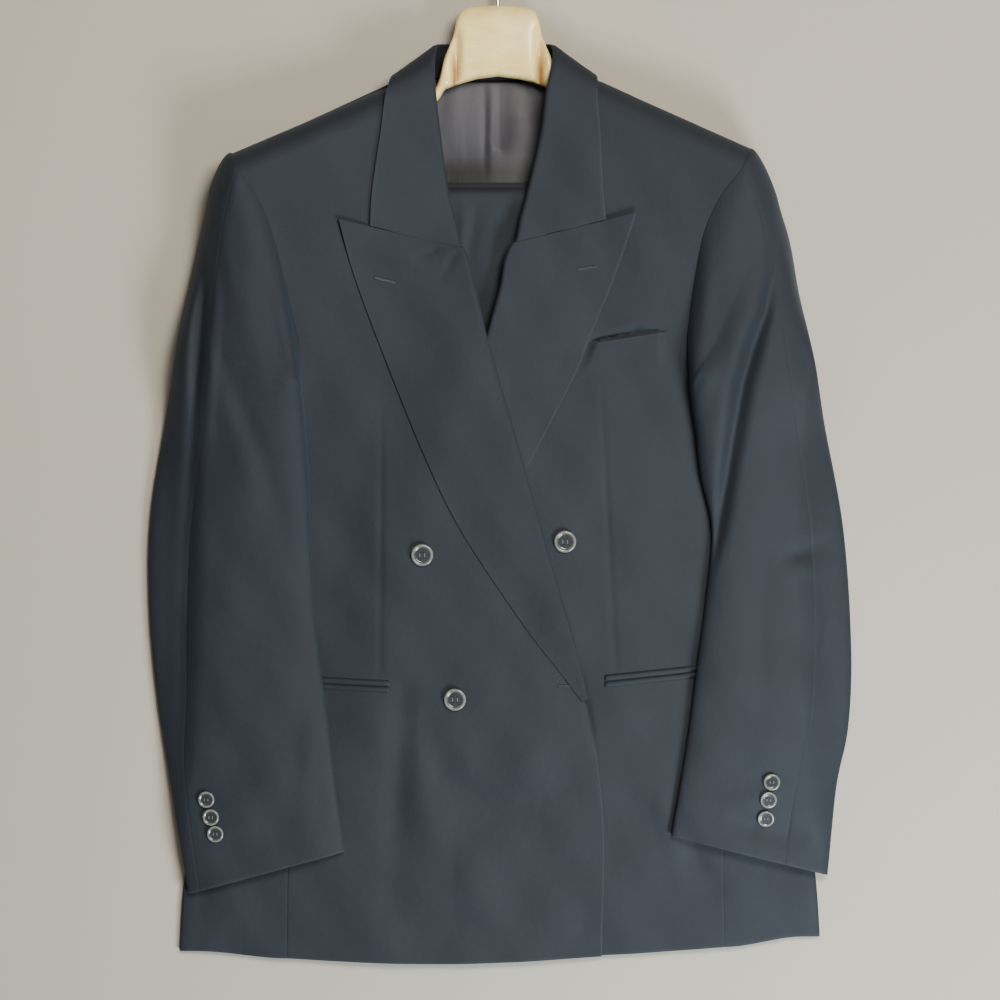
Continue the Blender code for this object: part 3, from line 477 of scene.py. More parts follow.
def cloth(name, point, grid, cut, free="", wall=WALL, finish=SUITING):
    """A cut of cloth with its wall and softly rounded edges: the middle of its wall passes through
    point(u, v). cut is its flat width and length in metres. It stands for the node whose name it has,
    less the last word."""
    mesh = bmesh.new()
    bmesh.ops.create_grid(mesh, x_segments=grid[0], y_segments=grid[1], size=0.5)
    lay(mesh, point, cut, free)
    made = piece(name, mesh, finish, [name.rpartition("_")[0]])
    wall_maker = made.modifiers.new("wall", "SOLIDIFY")
    wall_maker.thickness = wall * MM
    wall_maker.offset = 0
    rounding = made.modifiers.new("turned_edge", "BEVEL")
    rounding.width = 0.3 * wall * MM
    rounding.segments = 2
    rounding.limit_method = "ANGLE"
    rounding.angle_limit = math.radians(60)
    return made


def seam_high(x):
    """How high the shoulder seam lies above the floor."""
    return mix(19.0, 28.0, (abs(x - NECK_X) - 70) / 160)


def shoulder_up(x):
    """The height of the shoulder line, at a place across the shoulders."""
    return NECK_UP - math.tan(SHOULDER_SLOPE) * (abs(x - NECK_X) - NECK_HALF)


def back_low(x, up):
    """The middle of the back's wall: on the floor, or over the collar's fall behind the neck."""
    from_neck = abs(x - NECK_X)
    return WALL / 2 + FALL_LIFT * ease((up - 695) / 80) * ease((150 - from_neck) / 60)


def back(side):
    column = "right_x" if side == RIGHT else "left_x"
    low_end, top = BACK["outer_up"][-1], BACK["inner_up"][-1]

    def point(u, v):
        flat = np.minimum(v / (1 - BACK_ROLL), 1.0)
        at = flat * 10
        x = side * mix(through(BACK, "row", at, column), SEAM / 2, u)
        up = mix(through(BACK, "row", at, "outer_up"), through(BACK, "row", at, "inner_up"), u)
        last_x = side * (mix(BACK[column][-1], SEAM / 2, u) + SHOULDER_ROLL * math.sin(SHOULDER_SLOPE))
        shoulder = shoulder_up(last_x) - SHOULDER_ROLL * math.cos(SHOULDER_SLOPE)
        up = up + (np.minimum(top, shoulder) - mix(low_end, top, u)) * ease((flat - 0.5) / 0.5)
        rounds = ease((abs(x - NECK_X) - 66) / 16)
        turn = np.clip(v - (1 - BACK_ROLL), 0.0, None) / BACK_ROLL * math.pi / 2
        low = back_low(x, up)
        reach = mix(9.0, SHOULDER_ROLL, rounds) * np.sin(turn)
        x = x + side * reach * math.sin(SHOULDER_SLOPE) * rounds
        up = up + reach * mix(1.0, math.cos(SHOULDER_SLOPE), rounds)
        return x, up, mix(low, mix(seam_high(x) - SEAM, low, np.cos(turn)), rounds)

    return point


cloth("back_right_cloth", back(RIGHT), (50, 110), (0.235, 0.78), "B")
cloth("back_left_cloth", back(LEFT), (50, 110), (0.225, 0.78), "B")

# ---- Back lining ----
# Warm grey satin, the only lining in sight: it hangs inside the back of the neck, with an ease pleat
# pressed down its middle.

LINING_WALL = 1.0
LINING_FOLDS = (
    fold((-7, 797, 0.3, 5), (-8, 760, 1.2, 5), (-9, 735, 1.0, 6), (-10, 700, 0.2, 7)),
    fold((-14, 797, -0.2, 4), (-13, 765, -0.9, 3.4), (-13, 735, -0.8, 3.6), (-13, 705, 0, 4)),
    fold((-40, 797, 0.7, 7), (-42, 765, 0.4, 9), (-44, 735, 0, 9)),
    fold((12, 797, 0.5, 8), (13, 765, 0.9, 10), (10, 725, 0.2, 10)),
    fold((33, 797, 0.5, 8), (30, 760, -0.6, 10), (28, 725, 0, 10)),
)


# Satin lining: long floats of bright filament, 0.4 mm apart, lie across the cloth, so it shines in soft
# bands that follow its puckers. A dark brown band is painted along its bottom, just above the trousers'
# fold: painted shadow, warmed by a painted reflection of the wooden hanger.
def satin_color(material):
    cut = node(material, "UVMap", 0, uv_map="cut")
    floats = node(material, "Mapping", 0, {"Vector": cut, "Scale": (220, 2600, 1)})
    thread = node(material, "TexNoise", 0, {"Vector": floats, "Scale": 1.0, "Detail": 3})
    satin = node(material, "Mix", 2, {0: thread, 6: "28262C", 7: "38363B"}, data_type="RGBA")
    high = node(material, "SeparateXYZ", "Y", {"Vector": cut})
    # Painted shadow from the trousers' fold, with a warm painted reflection of the hanger, darkest at the
    # bottom.
    wear_and_painted_shadow = node(material, "MapRange", 0, {0: high, 1: 0.04, 2: 0.055, 3: 0.9, 4: 0.0})
    return node(material, "Mix", 2, {0: wear_and_painted_shadow, 6: satin, 7: "15120B"}, data_type="RGBA")


def satin_normal(material):
    cut = node(material, "UVMap", 0, uv_map="cut")
    stretch = node(material, "Mapping", 0, {"Vector": cut, "Scale": (90, 24, 1)})
    pucker = node(material, "TexNoise", 0, {"Vector": stretch, "Scale": 1.0, "Detail": 3})
    return node(material, "Bump", 0, {"Height": pucker, "Strength": 0.2, "Distance": 0.001})


SATIN = surface_finish(
    "satin_lining", satin_color, satin_normal, Roughness=0.5, Specular_IOR_Level=0.4, Anisotropic=0.5
)


def lining_point(u, v):
    x, up = NECK_X + mix(-58, 56, u), mix(676, 797, v)
    return x, up, back_low(x, up) + WALL / 2 + 4 * SEAM + LINING_WALL / 2 + folds(x, up, LINING_FOLDS)


cloth(
    "back_lining_satin", lining_point, (90, 60), (0.118, 0.123),
    "", LINING_WALL, SATIN,
)

# ---- Side bodies ----
# Narrow cuts under the arms: each leaves the front at its seam, rounds the side and runs under to the
# back.

SIDE_ROLL = 15.0
CHEST_DEPTH = 20.0
BODY = table(
    "up half_width depth",
    (0, 290, 6),
    (60, 286.5, 8),
    (150, 277, 12),
    (200, 271, 15),
    (300, 264, 16),
    (400, 262, 19),
    (500, 272, 25),
    (600, 275, 31),
    (700, 275, 36),
    (830, 275, 36),
)
FRONT_FOLDS = (
    fold((-170, 320, 0.6, 16), (-134, 334, 1.5, 18), (-100, 308, 1.4, 18), (-66, 284, 0.5, 20)),
    fold((-87, 245, -1.2, 11), (-92, 158, -2.4, 13), (-96, 59, -1.2, 16)),
    fold((-62, 222, -0.8, 14), (-48, 172, -1.8, 16), (-4, 138, -1.6, 16), (24, 120, -0.4, 16)),
    fold((-74, 190, 0.6, 12), (-64, 120, 1.2, 18), (-50, 40, 0.4, 18)),
    fold(
        (112, 168, 0.4, 10), (143, 152, 1.5, 11), (158, 112, 1.6, 11), (166, 76, 1.0, 12),
        (192, 58, 0.3, 12),
    ),
    fold((160, 128, -0.6, 10), (173, 96, -2.6, 14), (192, 72, -2.0, 14)),
    fold((-120, 640, -0.5, 20), (-92, 600, -1.5, 26), (-60, 560, -0.5, 22)),
    fold((120, 640, 0.5, 20), (136, 560, 1.5, 24), (150, 480, 0.5, 20)),
    fold((-172, 560, -0.4, 18), (-160, 480, -1.5, 20), (-148, 400, -0.4, 20)),
    fold((-115, 470, 0.4, 16), (-110, 400, 1.2, 18), (-104, 330, 0.4, 18)),
    fold((140, 470, -0.4, 18), (150, 410, -1.3, 20), (160, 350, -0.4, 20)),
    fold((40, 300, 0.3, 20), (30, 225, 1.0, 24), (20, 150, 0.3, 24)),
    fold((-20, 120, 0.4, 18), (-24, 80, 1.0, 20), (-30, 20, 0.4, 20)),
)
FRONT_RIGHT = table(
    "row outer_x outer_up inner_up",
    (0, -193, 5, 7),
    (2, -192, 77, 77),
    (4, -188, 190, 190),
    (6, -184, 276, 276),
    (8, -185, 383, 383),
    (10, -189, 464, 464),
    (11, -185, 510, 508),
    (12, -180, 545, 545),
    (13.5, -188, 592, 600),
    (15, -199, 640, 647),
    (18, -214, 684, 712),
    (21, -230.5, 709.5, 778),
)
FRONT_LEFT = table(
    "row outer_x outer_up inner_up",
    (0, 203, 15.3, 8),
    (2, 202, 77, 77),
    (4, 200, 190, 190),
    (6, 199, 276, 276),
    (8, 198, 383, 383),
    (10, 193, 464, 464),
    (11, 183, 508, 508),
    (12, 170, 545, 545),
    (13.5, 171, 592, 600),
    (15, 178, 640, 651),
    (18, 194, 686, 716),
    (21, 215, 714, 785),
)


def depth(x, up):
    """How high the inside of the lower front lies above the floor."""
    half = through(BODY, "up", up, "half_width")
    sides = 1 - 0.45 * (abs(x) / half) ** 4 * ease((540 - up) / 80)
    chest = CHEST_DEPTH * ease((up - 450) / 300) * (abs(x - NECK_X) / 230) ** 1.5
    return through(BODY, "up", up, "depth") * sides + chest


def ripple(x, up):
    """The slight unevenness of cloth that has been worn and laid down by hand."""
    waves = (
        (0.055, 0.031, 0.3), (-0.038, 0.067, 1.9), (0.083, -0.022, 4.1), (0.021, 0.094, 2.6),
        (0.11, 0.07, 5.2),
    )
    bend = 9 * np.sin(0.017 * up + 0.6) + 7 * np.sin(0.023 * x - 1.1)
    return sum(0.3 * np.sin(a * (x + bend) + b * (up - bend) + c) for a, b, c in waves)


def left_top(x, up):
    """The middle of the left front's wall, which lies on the trousers and under the right front."""
    return depth(x, up) + WALL / 2 + folds(x, up, FRONT_FOLDS) + ripple(x, up)


def seam_line(rows, last, column):
    """The outer line of a cut up to a row, as places across read by height."""
    at = np.linspace(0, last, 200)
    return through(rows, "row", at, "outer_up"), through(rows, "row", at, column)


def side_body(side, front_rows, hem_edge):
    on_top, below, apart, under = 0.4, 0.7, -1.2, 0.12
    front_seam, back_seam = seam_line(front_rows, 10, "outer_x"), seam_line(BACK, 5, "right_x")
    hem_front, hem_back = front_rows["outer_up"][0], BACK["outer_up"][0]

    def point(u, v):
        hem = np.where(
            u < 0.5, mix(hem_front, hem_edge, ease(u / on_top)), mix(hem_edge, hem_back, ease(2 * u - 1))
        )
        up = mix(hem, 462.0, v)
        half = through(BODY, "up", up, "half_width") - SIDE_ROLL
        top, low = left_top(side * half, up), WALL / 2
        turn = np.clip((u - on_top) / (below - on_top), 0, 1) * math.pi
        front_part = mix(abs(np.interp(up, *front_seam)) + apart, half, np.minimum(u / on_top, 1))
        back_part = mix(half, np.interp(up, *back_seam) + apart, (u - below) / (1 - below))
        x = np.where(u <= on_top, front_part, half + SIDE_ROLL * np.sin(turn))
        x = side * np.where(u >= below, back_part, x)
        z = np.where(u <= on_top, left_top(x, up) - under, mix(low, top - under, (1 + np.cos(turn)) / 2))
        return x, up, z

    return point


cloth(
    "side_body_right_cloth", side_body(RIGHT, FRONT_RIGHT, 11.4), (60, 90), (0.15, 0.45),
    "B",
)
cloth(
    "side_body_left_cloth", side_body(LEFT, FRONT_LEFT, 24.5), (60, 90), (0.14, 0.44),
    "B",
)

# ---- Fronts ----
# Two wide overlapping fronts with canvas inside. The right one lies on top, and each rounds over the
# shoulder to its seam. A dart from the chest to the pocket shapes the waist.

LAY = 0.5
TUCK = 1.5
FRONT_ROLL = 4 / 25
NECK_ROWS = 4.0
EDGE_RIGHT = table(
    "up x",
    (0, 92),
    (149, 92),
    (190, 87),
    (241, 78.5),
    (276, 70.5),
    (324, 57),
    (383, 39.5),
    (464, 17),
    (526, -1),
    (565, -12),
    (615, -24),
    (645, -33),
)
EDGE_LEFT = table(
    "up x",
    (0, -105),
    (149, -105),
    (241, -99),
    (276, -92),
    (324, -79),
    (383, -62),
    (464, -40),
    (526, -23),
    (565, -12),
    (608, 0),
    (650, 12),
)
LAPEL_RIGHT = table(
    "row outer_x outer_up inner_up",
    (0, 74, 238, 240),
    (1, 56, 262, 264),
    (2, 20, 309, 315),
    (3, -35, 392, 388),
    (4, -68, 460, 462),
    (5, -106, 554, 556),
    (6, -131, 622, 622),
    (7, -144, 670, 645),
)
LAPEL_LEFT = table(
    "row outer_x outer_up inner_up",
    (0, -93, 241, 241),
    (1, -77, 271, 272),
    (2, -27, 352, 352),
    (3, 23, 446, 446),
    (4, 66, 529, 531),
    (5, 78, 559, 561),
    (6, 103, 620, 620),
    (7, 122, 676, 650),
)
COLLAR = table(
    "row middle edge_x edge_up fold_x fold_up seam_x seam_up turn",
    (0, -10.5, 106, 664, 22.5, 647, 25.5, 650, 1),
    (1, -11, 103, 698, 35, 692, 49, 696, 1),
    (2, -8.5, 98, 749, 45, 745, 61, 746, 1),
    (3, -8, 95, 777, 50, 786, 64, 776, 1),
    (4, -6, 93, 791, 53, 809, 65, 791, 0.8),
    (5, -5, 90, 799, 53, 824, 65, 800, 0.28),
    (6, -5, 86, 800, 51, 829, 63, 802, -0.35),
    (7, -5, 79, 795, 44, 831, 57, 802, -0.9),
    (8, -5, 62, 790, 32, 831, 41, 801, -1),
    (9, -5, 30, 786, 15, 831, 20, 799, -1),
    (10, -5, 0, 785, 0, 831, 0, 799, -1),
)
# Creases that only the cloth on top shows: the darts, and what lies under the front pressing through.
FRONT_CREASES = (
    fold((-106, 500, -0.2, 2.5), (-107, 400, -0.7, 2.6), (-108, 266, -0.5, 2.6)),
    fold((91, 523, -0.3, 2.5), (97, 400, -0.7, 2.6), (104, 268, -0.5, 2.6)),
    fold(
        (78, 561, -1.0, 2), (90, 563, -2.5, 2.7), (104, 566, -3.2, 3), (122, 571, -3.8, 3.2),
        (148, 571, -1.0, 2),
    ),
    fold((70, 266, -0.4, 2), (79, 228, -1.9, 2.4), (86, 192, -0.6, 2)),
)


def edge_x(edge, up):
    """Where a front's inner line runs at a height."""
    return through(edge, "up", up, "x")


def with_neck(edge, side):
    """A front's edge and roll line, carried on along the collar's seam."""
    apart = 0.9
    rows = np.arange(0.25, NECK_ROWS, 0.45)
    xs = through(COLLAR, "row", rows, "middle") + side * (through(COLLAR, "row", rows, "seam_x") + apart)
    ups = through(COLLAR, "row", rows, "seam_up")
    return {"up": np.append(edge["up"], ups), "x": np.append(edge["x"], xs)}


EDGE_RIGHT, EDGE_LEFT = with_neck(EDGE_RIGHT, RIGHT), with_neck(EDGE_LEFT, LEFT)


def right_top(x, up):
    """The middle of the right front's wall: it climbs over the left front, and over its lapel."""
    climbed = ease((x - edge_x(EDGE_LEFT, up) + 88) / 84)
    over_lapel = ease((up - 125) / 110)
    return left_top(x, up) + climbed * mix(WALL + LAY, 2 * (WALL + LAY) + 1.9, over_lapel)


def ends(rows, edge, v):
    """The two ends of a cut's row: on its outer line, and on the front's inner line."""
    at = v * rows["row"][-1]
    inner_up = through(rows, "row", at, "inner_up")
    outer = through(rows, "row", at, "outer_x"), through(rows, "row", at, "outer_up")
    return outer, (edge_x(edge, inner_up), inner_up)


def lapel_width(rows, edge, up):
    """How wide a lapel is where its roll line is at a height."""
    at = np.interp(up, rows["inner_up"], rows["row"])
    return abs(through(rows, "row", at, "outer_x") - edge_x(edge, up))


def curl_wide(width):
    """How far a lapel's roll reaches in from the roll line."""
    return np.minimum((WALL + LAY) / 2 + TUCK, 0.45 * width)


def tuck(rows, edge, up):
    """How far a front stops short of its inner line, to leave room for the lapel's roll."""
    low, high = rows["inner_up"][0], rows["inner_up"][-1]
    beside = ease((up - low + 50) / 40) * ease((high + 16 - up) / 16)
    return (curl_wide(lapel_width(rows, edge, up)) + 3 * SEAM) * beside


def front(rows, edge, lapel_rows, side, surface, hem_dip):
    def point(u, v):
        flat = np.minimum(v / (1 - FRONT_ROLL), 1.0)
        outer, inner = ends(rows, edge, flat)
        inner = inner[0] + side * tuck(lapel_rows, edge, inner[1]), inner[1]
        x, up = mix(outer[0], inner[0], u), mix(outer[1], inner[1], u)
        up = up - hem_dip * np.sin(math.pi * u) * ease(1 - flat / 0.12)
        z = surface(x, up) + folds(x, up, FRONT_CREASES)
        turn = np.clip(v - (1 - FRONT_ROLL), 0.0, None) / FRONT_ROLL * math.pi / 2
        reach = SHOULDER_ROLL * np.sin(turn)
        x = x + side * reach * math.sin(SHOULDER_SLOPE)
        up = up + reach * math.cos(SHOULDER_SLOPE)
        return x, up, mix(seam_high(x) + SEAM, z, np.cos(turn))

    return point


right_front = front(FRONT_RIGHT, EDGE_RIGHT, LAPEL_RIGHT, RIGHT, right_top, 6.0)
left_front = front(FRONT_LEFT, EDGE_LEFT, LAPEL_LEFT, LEFT, left_top, 5.4)
cloth(
    "front_left_cloth", left_front, (110, 260), (0.33, 0.80),
    "RB",
)
cloth(
    "front_right_cloth", right_front, (110, 260), (0.33, 0.80),
    "RB",
)

# ---- Lapels ----
# Broad peak lapels cut with the facing: each rises softly from its front to the roll line, where it
# turns over, and its edge stands a little proud.


# Where the cloth has been handled: short breaks near each roll line, and above the buttonhole.
LAPEL_CREASES = (
    fold((-42, 654, -0.4, 3), (-58, 644, -1.1, 4), (-74, 636, -0.3, 4)),
    fold((-34, 648, -0.3, 3), (-44, 632, -1.0, 4), (-52, 618, -0.2, 4)),
    fold((-104, 640, 0.2, 4), (-82, 632, 0.7, 5), (-60, 622, 0.2, 5)),
    fold((20, 316, -0.2, 2), (31, 318, -0.7, 2), (40, 322, -0.2, 2)),
    fold((40, 300, 0.2, 2), (50, 303, 0.6, 2.2), (57, 302, 0.2, 2)),
    fold((88, 640, 0.2, 5), (72, 650, 0.6, 6), (52, 652, 0.2, 6)),
)


def lapel(rows, edge, side, surface):
    rolled = 0.3

    def point(u, v):
        flat = np.minimum(u / (1 - rolled), 1.0)
        outer, inner = ends(rows, edge, v)
        width = abs(inner[0] - outer[0])
        curl = curl_wide(width)
        x, up = mix(outer[0], inner[0] + side * curl, flat), mix(outer[1], inner[1], flat)
        peak = 2.2 * ease((v - 0.86) / 0.14) * ease(1 - flat / 0.45)
        z = surface(x, up) + WALL + LAY + 1.4 * ease(flat) * ease(width / 40) + peak
        z = z + folds(x, up, LAPEL_CREASES) * ease((1 - v) / 0.05)
        turn = np.clip(u - (1 - rolled), 0.0, None) / rolled * math.pi
        rolled_x = inner[0] + side * curl
        z = np.where(turn > 0, mix(surface(rolled_x, up), z, (1 + np.cos(turn)) / 2), z)
        return np.where(turn > 0, inner[0] + side * curl * (1 - np.sin(turn)), x), up, z

    return point


right_lapel = lapel(LAPEL_RIGHT, EDGE_RIGHT, RIGHT, right_top)
left_lapel = lapel(LAPEL_LEFT, EDGE_LEFT, LEFT, left_top)
cloth("lapel_right_cloth", right_lapel, (70, 180), (0.12, 0.48), "L")
cloth("lapel_left_cloth", left_lapel, (70, 180), (0.11, 0.48), "L")

# ---- Collar ----
# The collar, in two halves joined behind the neck: its fall lies over the fronts, folds along its top
# and goes down inside as the stand.


def collar(side, surface, lapel_rows, edge):
    fall, stand, fold_wide = 0.45, 0.72, 3.0
    behind, behind_apart = 2.35, 2.7
    outer, inner = ends(lapel_rows, edge, 1.0)

    def gorge_up(x):
        return inner[1] + (outer[1] - inner[1]) * np.clip((x - inner[0]) / (outer[0] - inner[0]), 0.0, 1.0)

    def point(u, v):
        row = v * 10
        line = {c: through(COLLAR, "row", row, c) for c in COLLAR}
        turn = np.clip(line["turn"], -1.0, 1.0)
        facing, sideways = (1 + turn) / 2, np.sqrt(1 - turn * turn)
        apart = mix(behind_apart, WALL + LAY + 1.2, facing)
        down_x, down_up = line["edge_x"] - line["fold_x"], line["edge_up"] - line["fold_up"]
        length = np.hypot(down_x, down_up)
        down_x, down_up = down_x / length, down_up / length
        rolled = np.clip((u - fall) / (stand - fall), 0.0, 1.0) * math.pi
        x = line["fold_x"] + down_x * fold_wide * (1 - np.sin(rolled))
        up = line["fold_up"] + down_up * fold_wide * (1 - np.sin(rolled))
        on_fall, on_stand = u < fall, u > stand
        share = np.clip((u - stand) / (1 - stand), 0, 1)
        x = np.where(on_stand, mix(x, line["seam_x"], share), x)
        x = np.where(on_fall, mix(line["edge_x"], x, u / fall), x)
        up = np.where(on_stand, mix(up, line["seam_up"], share), up)
        up = np.where(on_fall, mix(line["edge_up"], up, u / fall), up)
        lift = apart / 2 * np.cos(rolled)
        x, up = x - down_up * lift * sideways, up + down_x * lift * sideways
        x = line["middle"] + side * x
        seam = mix(SEAM * 1.5, -0.4, ease((line["edge_x"] - 12 - side * (x - line["middle"])) / 16))
        up = mix(up, gorge_up(x) + seam, 1 - ease(row / 0.6))
        middle = mix(behind, surface(x, np.minimum(up, 780.0)) + apart / 2, facing)
        return np.where(v < 1, x, side * SEAM / 2 + line["middle"]), up, middle + lift * turn

    return point


for side_name, half, area in (
    ("right", collar(RIGHT, right_top, LAPEL_RIGHT, EDGE_RIGHT), 0.0187),
    ("left", collar(LEFT, left_top, LAPEL_LEFT, EDGE_LEFT), 0.0183),
):
    cloth(
        f"collar_{side_name}_cloth", half, (70, 110), (0.09, 0.30),
        "L",
    )

# ---- Sleeves ----
# Two-piece sleeves set into the armholes and lying flat beside the body. They crease where the elbow
# bends and where they fall off the shoulder.

HEAD_ROWS, FALL_ROWS = 0.9, 2.6
ROPE_HIGH, ROPE_ROW = 2.4, 0.42
FRONT_SEAM_TURN = 0.4
SLEEVE_RIGHT = table(
    "row inner_x inner_up outer_x outer_up thick hind",
    (0, -179, 530, -252, 746, 50, 0.84),
    (1, -176, 500, -262, 690, 41, 0.83),
    (2, -174, 469, -272, 650, 32, 0.81),
    (3, -172, 430, -283, 600, 25, 0.78),
    (4, -171, 390, -295, 527, 20, 0.75),
    (5, -168, 330, -314.5, 415, 16, 0.75),
    (6, -163, 275, -317, 330, 14, 0.77),
    (7, -155, 215, -310, 245, 13, 0.82),
    (8, -148, 155, -299, 174, 12, 0.90),
    (9, -140, 103, -280.5, 64, 10, 0.93),
)
SLEEVE_LEFT = table(
    "row inner_x inner_up outer_x outer_up thick hind",
    (0, 169, 530, 235, 744, 50, 0.84),
    (1, 172, 505, 250, 686, 41, 0.83),
    (2, 176, 480, 262, 648, 32, 0.82),
    (3, 181, 440, 273, 585, 25, 0.80),
    (4, 191, 392, 288.5, 505, 20, 0.77),
    (5, 186, 330, 309, 400, 16, 0.76),
    (6, 178, 270, 317, 290, 14, 0.75),
    (7, 170, 208, 314.5, 215, 13, 0.74),
    (8, 162, 158, 303.5, 160, 12, 0.73),
    (9, 155, 117, 295, 81, 10, 0.72),
)
SLEEVE_FOLDS_RIGHT = (
    fold(
        (-258, 662, -0.6, 5), (-262, 634, -3.0, 6), (-266, 590, -7.0, 6.5), (-270, 542, -9.0, 7),
        (-274, 491, -7.0, 7), (-277, 437, -4.5, 7), (-281, 383, -3.0, 7), (-284, 311, -2.4, 7),
        (-285, 239, -1.8, 7), (-286, 167, -0.4, 7),
    ),
    fold(
        (-260, 690, 0.4, 5), (-257, 650, 1.4, 5), (-254, 600, 2.4, 6), (-254, 556, 1.6, 7),
        (-262, 480, 1.2, 7),
    ),
    fold((-258, 575, -0.5, 8), (-227, 491, -2.6, 11), (-212, 455, -2.4, 12), (-192, 388, -0.5, 12)),
    fold((-246, 575, 0.4, 10), (-238, 500, 1.4, 14), (-222, 420, 0.6, 14)),
    fold((-241, 667, -0.5, 5), (-234, 633, -1.8, 5.5), (-228, 590, -0.4, 6)),
    fold((-270, 268, 0.3, 18), (-230, 276, 1.3, 22), (-190, 290, 0.3, 20)),
    fold((-223, 329, -0.3, 16), (-228, 300, -1.2, 18), (-232, 270, -0.3, 20)),
    fold((-170, 232, 0.2, 8), (-171, 190, 1.1, 9), (-176, 132, 0.2, 10)),
    fold((-262, 92, -0.4, 14), (-236, 98, -1.6, 16), (-205, 110, -0.4, 16)),
)
SLEEVE_FOLDS_LEFT = (
    fold(
        (246, 642, -1.0, 5), (241, 612, -4.6, 6), (236, 586, -8.5, 7), (225, 556, -11.5, 8.5),
        (216, 524, -11.5, 8.5), (210, 488, -10, 8), (203, 437, -8, 7), (196, 390, -5, 6), (187, 352, -1, 5),
    ),
    fold((230, 600, 0.5, 9), (212, 556, 1.3, 11), (203, 510, 1.3, 11), (198, 460, 0.6, 9)),
    fold((252, 560, 0.6, 12), (244, 500, 2.0, 13), (236, 430, 0.8, 13)),
    fold((252, 364, -0.6, 6), (266, 371, -4.0, 7), (277, 375, -4.4, 7.5), (298, 385, -0.6, 7)),
    fold((258, 352, 0.6, 8), (274, 356, 2.0, 9), (294, 362, 0.6, 8)),
    fold((236, 372, -0.4, 9), (234, 330, -2.2, 12), (233, 270, -2.0, 12), (236, 222, -0.3, 12)),
    fold((286, 268, -0.4, 2), (291, 292, -1.8, 2.6), (298, 320, -0.4, 2.4)),
    fold((200, 136, -0.5, 10), (228, 126, -4.6, 12), (258, 118, -3.6, 12), (280, 112, -0.4, 10)),
    fold((262, 162, 0.4, 8), (240, 156, 1.6, 9), (214, 150, 0.4, 9)),
)


def over_body(surface, x, up, top, drop):
    """How high a sleeve's cloth lies above the floor where the body is under it. It leaves the body
    at the height top, over the length drop."""
    half = through(BODY, "up", up, "half_width")
    beside = ease((half + 42 - abs(x)) / 42)
    pocket = 1.9 * np.exp(-(((up - 258) / 30) ** 2))
    armhole = 1.5 * ease((up - 465) / 45)
    return (surface(x, up) + WALL / 2 + LAY + SEAM + pocket + armhole) * beside * ease((top - up) / drop)


def sleeve(rows, side, lines, surface, front_point, back_point):
    """The tube of a sleeve: point(turn, v), where turn runs over the top from the inner fold, at 0,
    to the outer one, at pi, and back below."""
    low_front, low_back, apart_front, apart_back, fold_high = 0.48, 0.569, 0.2, 0.3, 2.6

    def armhole(turn):
        share = np.where(turn < math.pi, abs(turn / math.pi), 2 - turn / math.pi)
        inner = front_point(np.array([0.0]), np.array([low_front]))
        lifted = 4.0 * (1 - ease(share / 0.18))
        zero = np.zeros_like(share)
        fx, fup, fz = front_point(zero, mix(low_front, 1.0, np.clip(share, 0, 1)))
        bx, bup, bz = back_point(zero, mix(low_back, 1.0, np.clip(share, 0, 1)))
        across, near = 1 - ease((share - 0.04) / 0.15), 1 - ease((share - 0.06) / 0.3)
        bx, bup = mix(bx, inner[0], across), mix(bup, inner[1], across)
        over = (turn >= 0) & (turn <= math.pi)
        return (
            np.where(over, fx + side * apart_front, bx + side * mix(apart_back, apart_front, across)),
            np.where(over, fup, bup),
            np.where(over, fz + lifted, mix(bz, inner[2] + lifted, near)),
        )

    def tube_point(turn, v):
        row = v * rows["row"][-1]
        line = {c: through(rows, "row", row, c) for c in rows}
        share = (1 - np.cos(turn)) / 2
        x, up = mix(line["inner_x"], line["outer_x"], share), mix(line["inner_up"], line["outer_up"], share)
        lift = abs(np.sin(turn))
        floor = over_body(surface, x, up, 620, 90) + WALL / 2 + SEAM
        smooth_floor = over_body(surface, x, up, 720, 260) + WALL / 2 + SEAM
        z = mix(floor, smooth_floor, ease(lift / 0.6)) + mix(fold_high, line["thick"], lift**0.8)
        z = z + folds(x, up, lines) * ease(lift / 0.5)
        return x, up, np.where(np.sin(turn) < 0, floor + fold_high * (1 - lift**0.5), z)

    def point(turn, v):
        row, share = v * rows["row"][-1], (1 - np.cos(turn)) / 2
        start, end = armhole(turn), tube_point(turn, v)
        on_top = (turn > 0) & (turn < math.pi)
        fall_rows = np.where(on_top, FALL_ROWS, mix(HEAD_ROWS, FALL_ROWS, share))
        out, fallen = (ease(row / mix(ROPE_ROW, full, ease(share / 0.35))) for full in (HEAD_ROWS, fall_rows))
        round_head = on_top * np.sin(np.clip(turn, 0, math.pi)) ** 0.5
        roped = ROPE_HIGH * round_head * np.exp(-(((row - ROPE_ROW) / 0.26) ** 2))
        return mix(start[0], end[0], out), mix(start[1], end[1], out), mix(start[2], end[2], fallen) + roped

    return point


def top_sleeve(rows, tube_point):
    def point(u, v):
        hind = through(rows, "row", v * rows["row"][-1], "hind")
        return tube_point(mix(-FRONT_SEAM_TURN * ease(v / 0.05), np.arccos(1 - 2 * hind), u), v)

    return point


def under_sleeve(rows, tube_point):
    def point(u, v):
        hind = through(rows, "row", v * rows["row"][-1], "hind")
        end = 2 * math.pi - mix(0.2, FRONT_SEAM_TURN, ease(v / 0.05))
        return tube_point(mix(np.arccos(1 - 2 * hind), end, u), v)

    return point


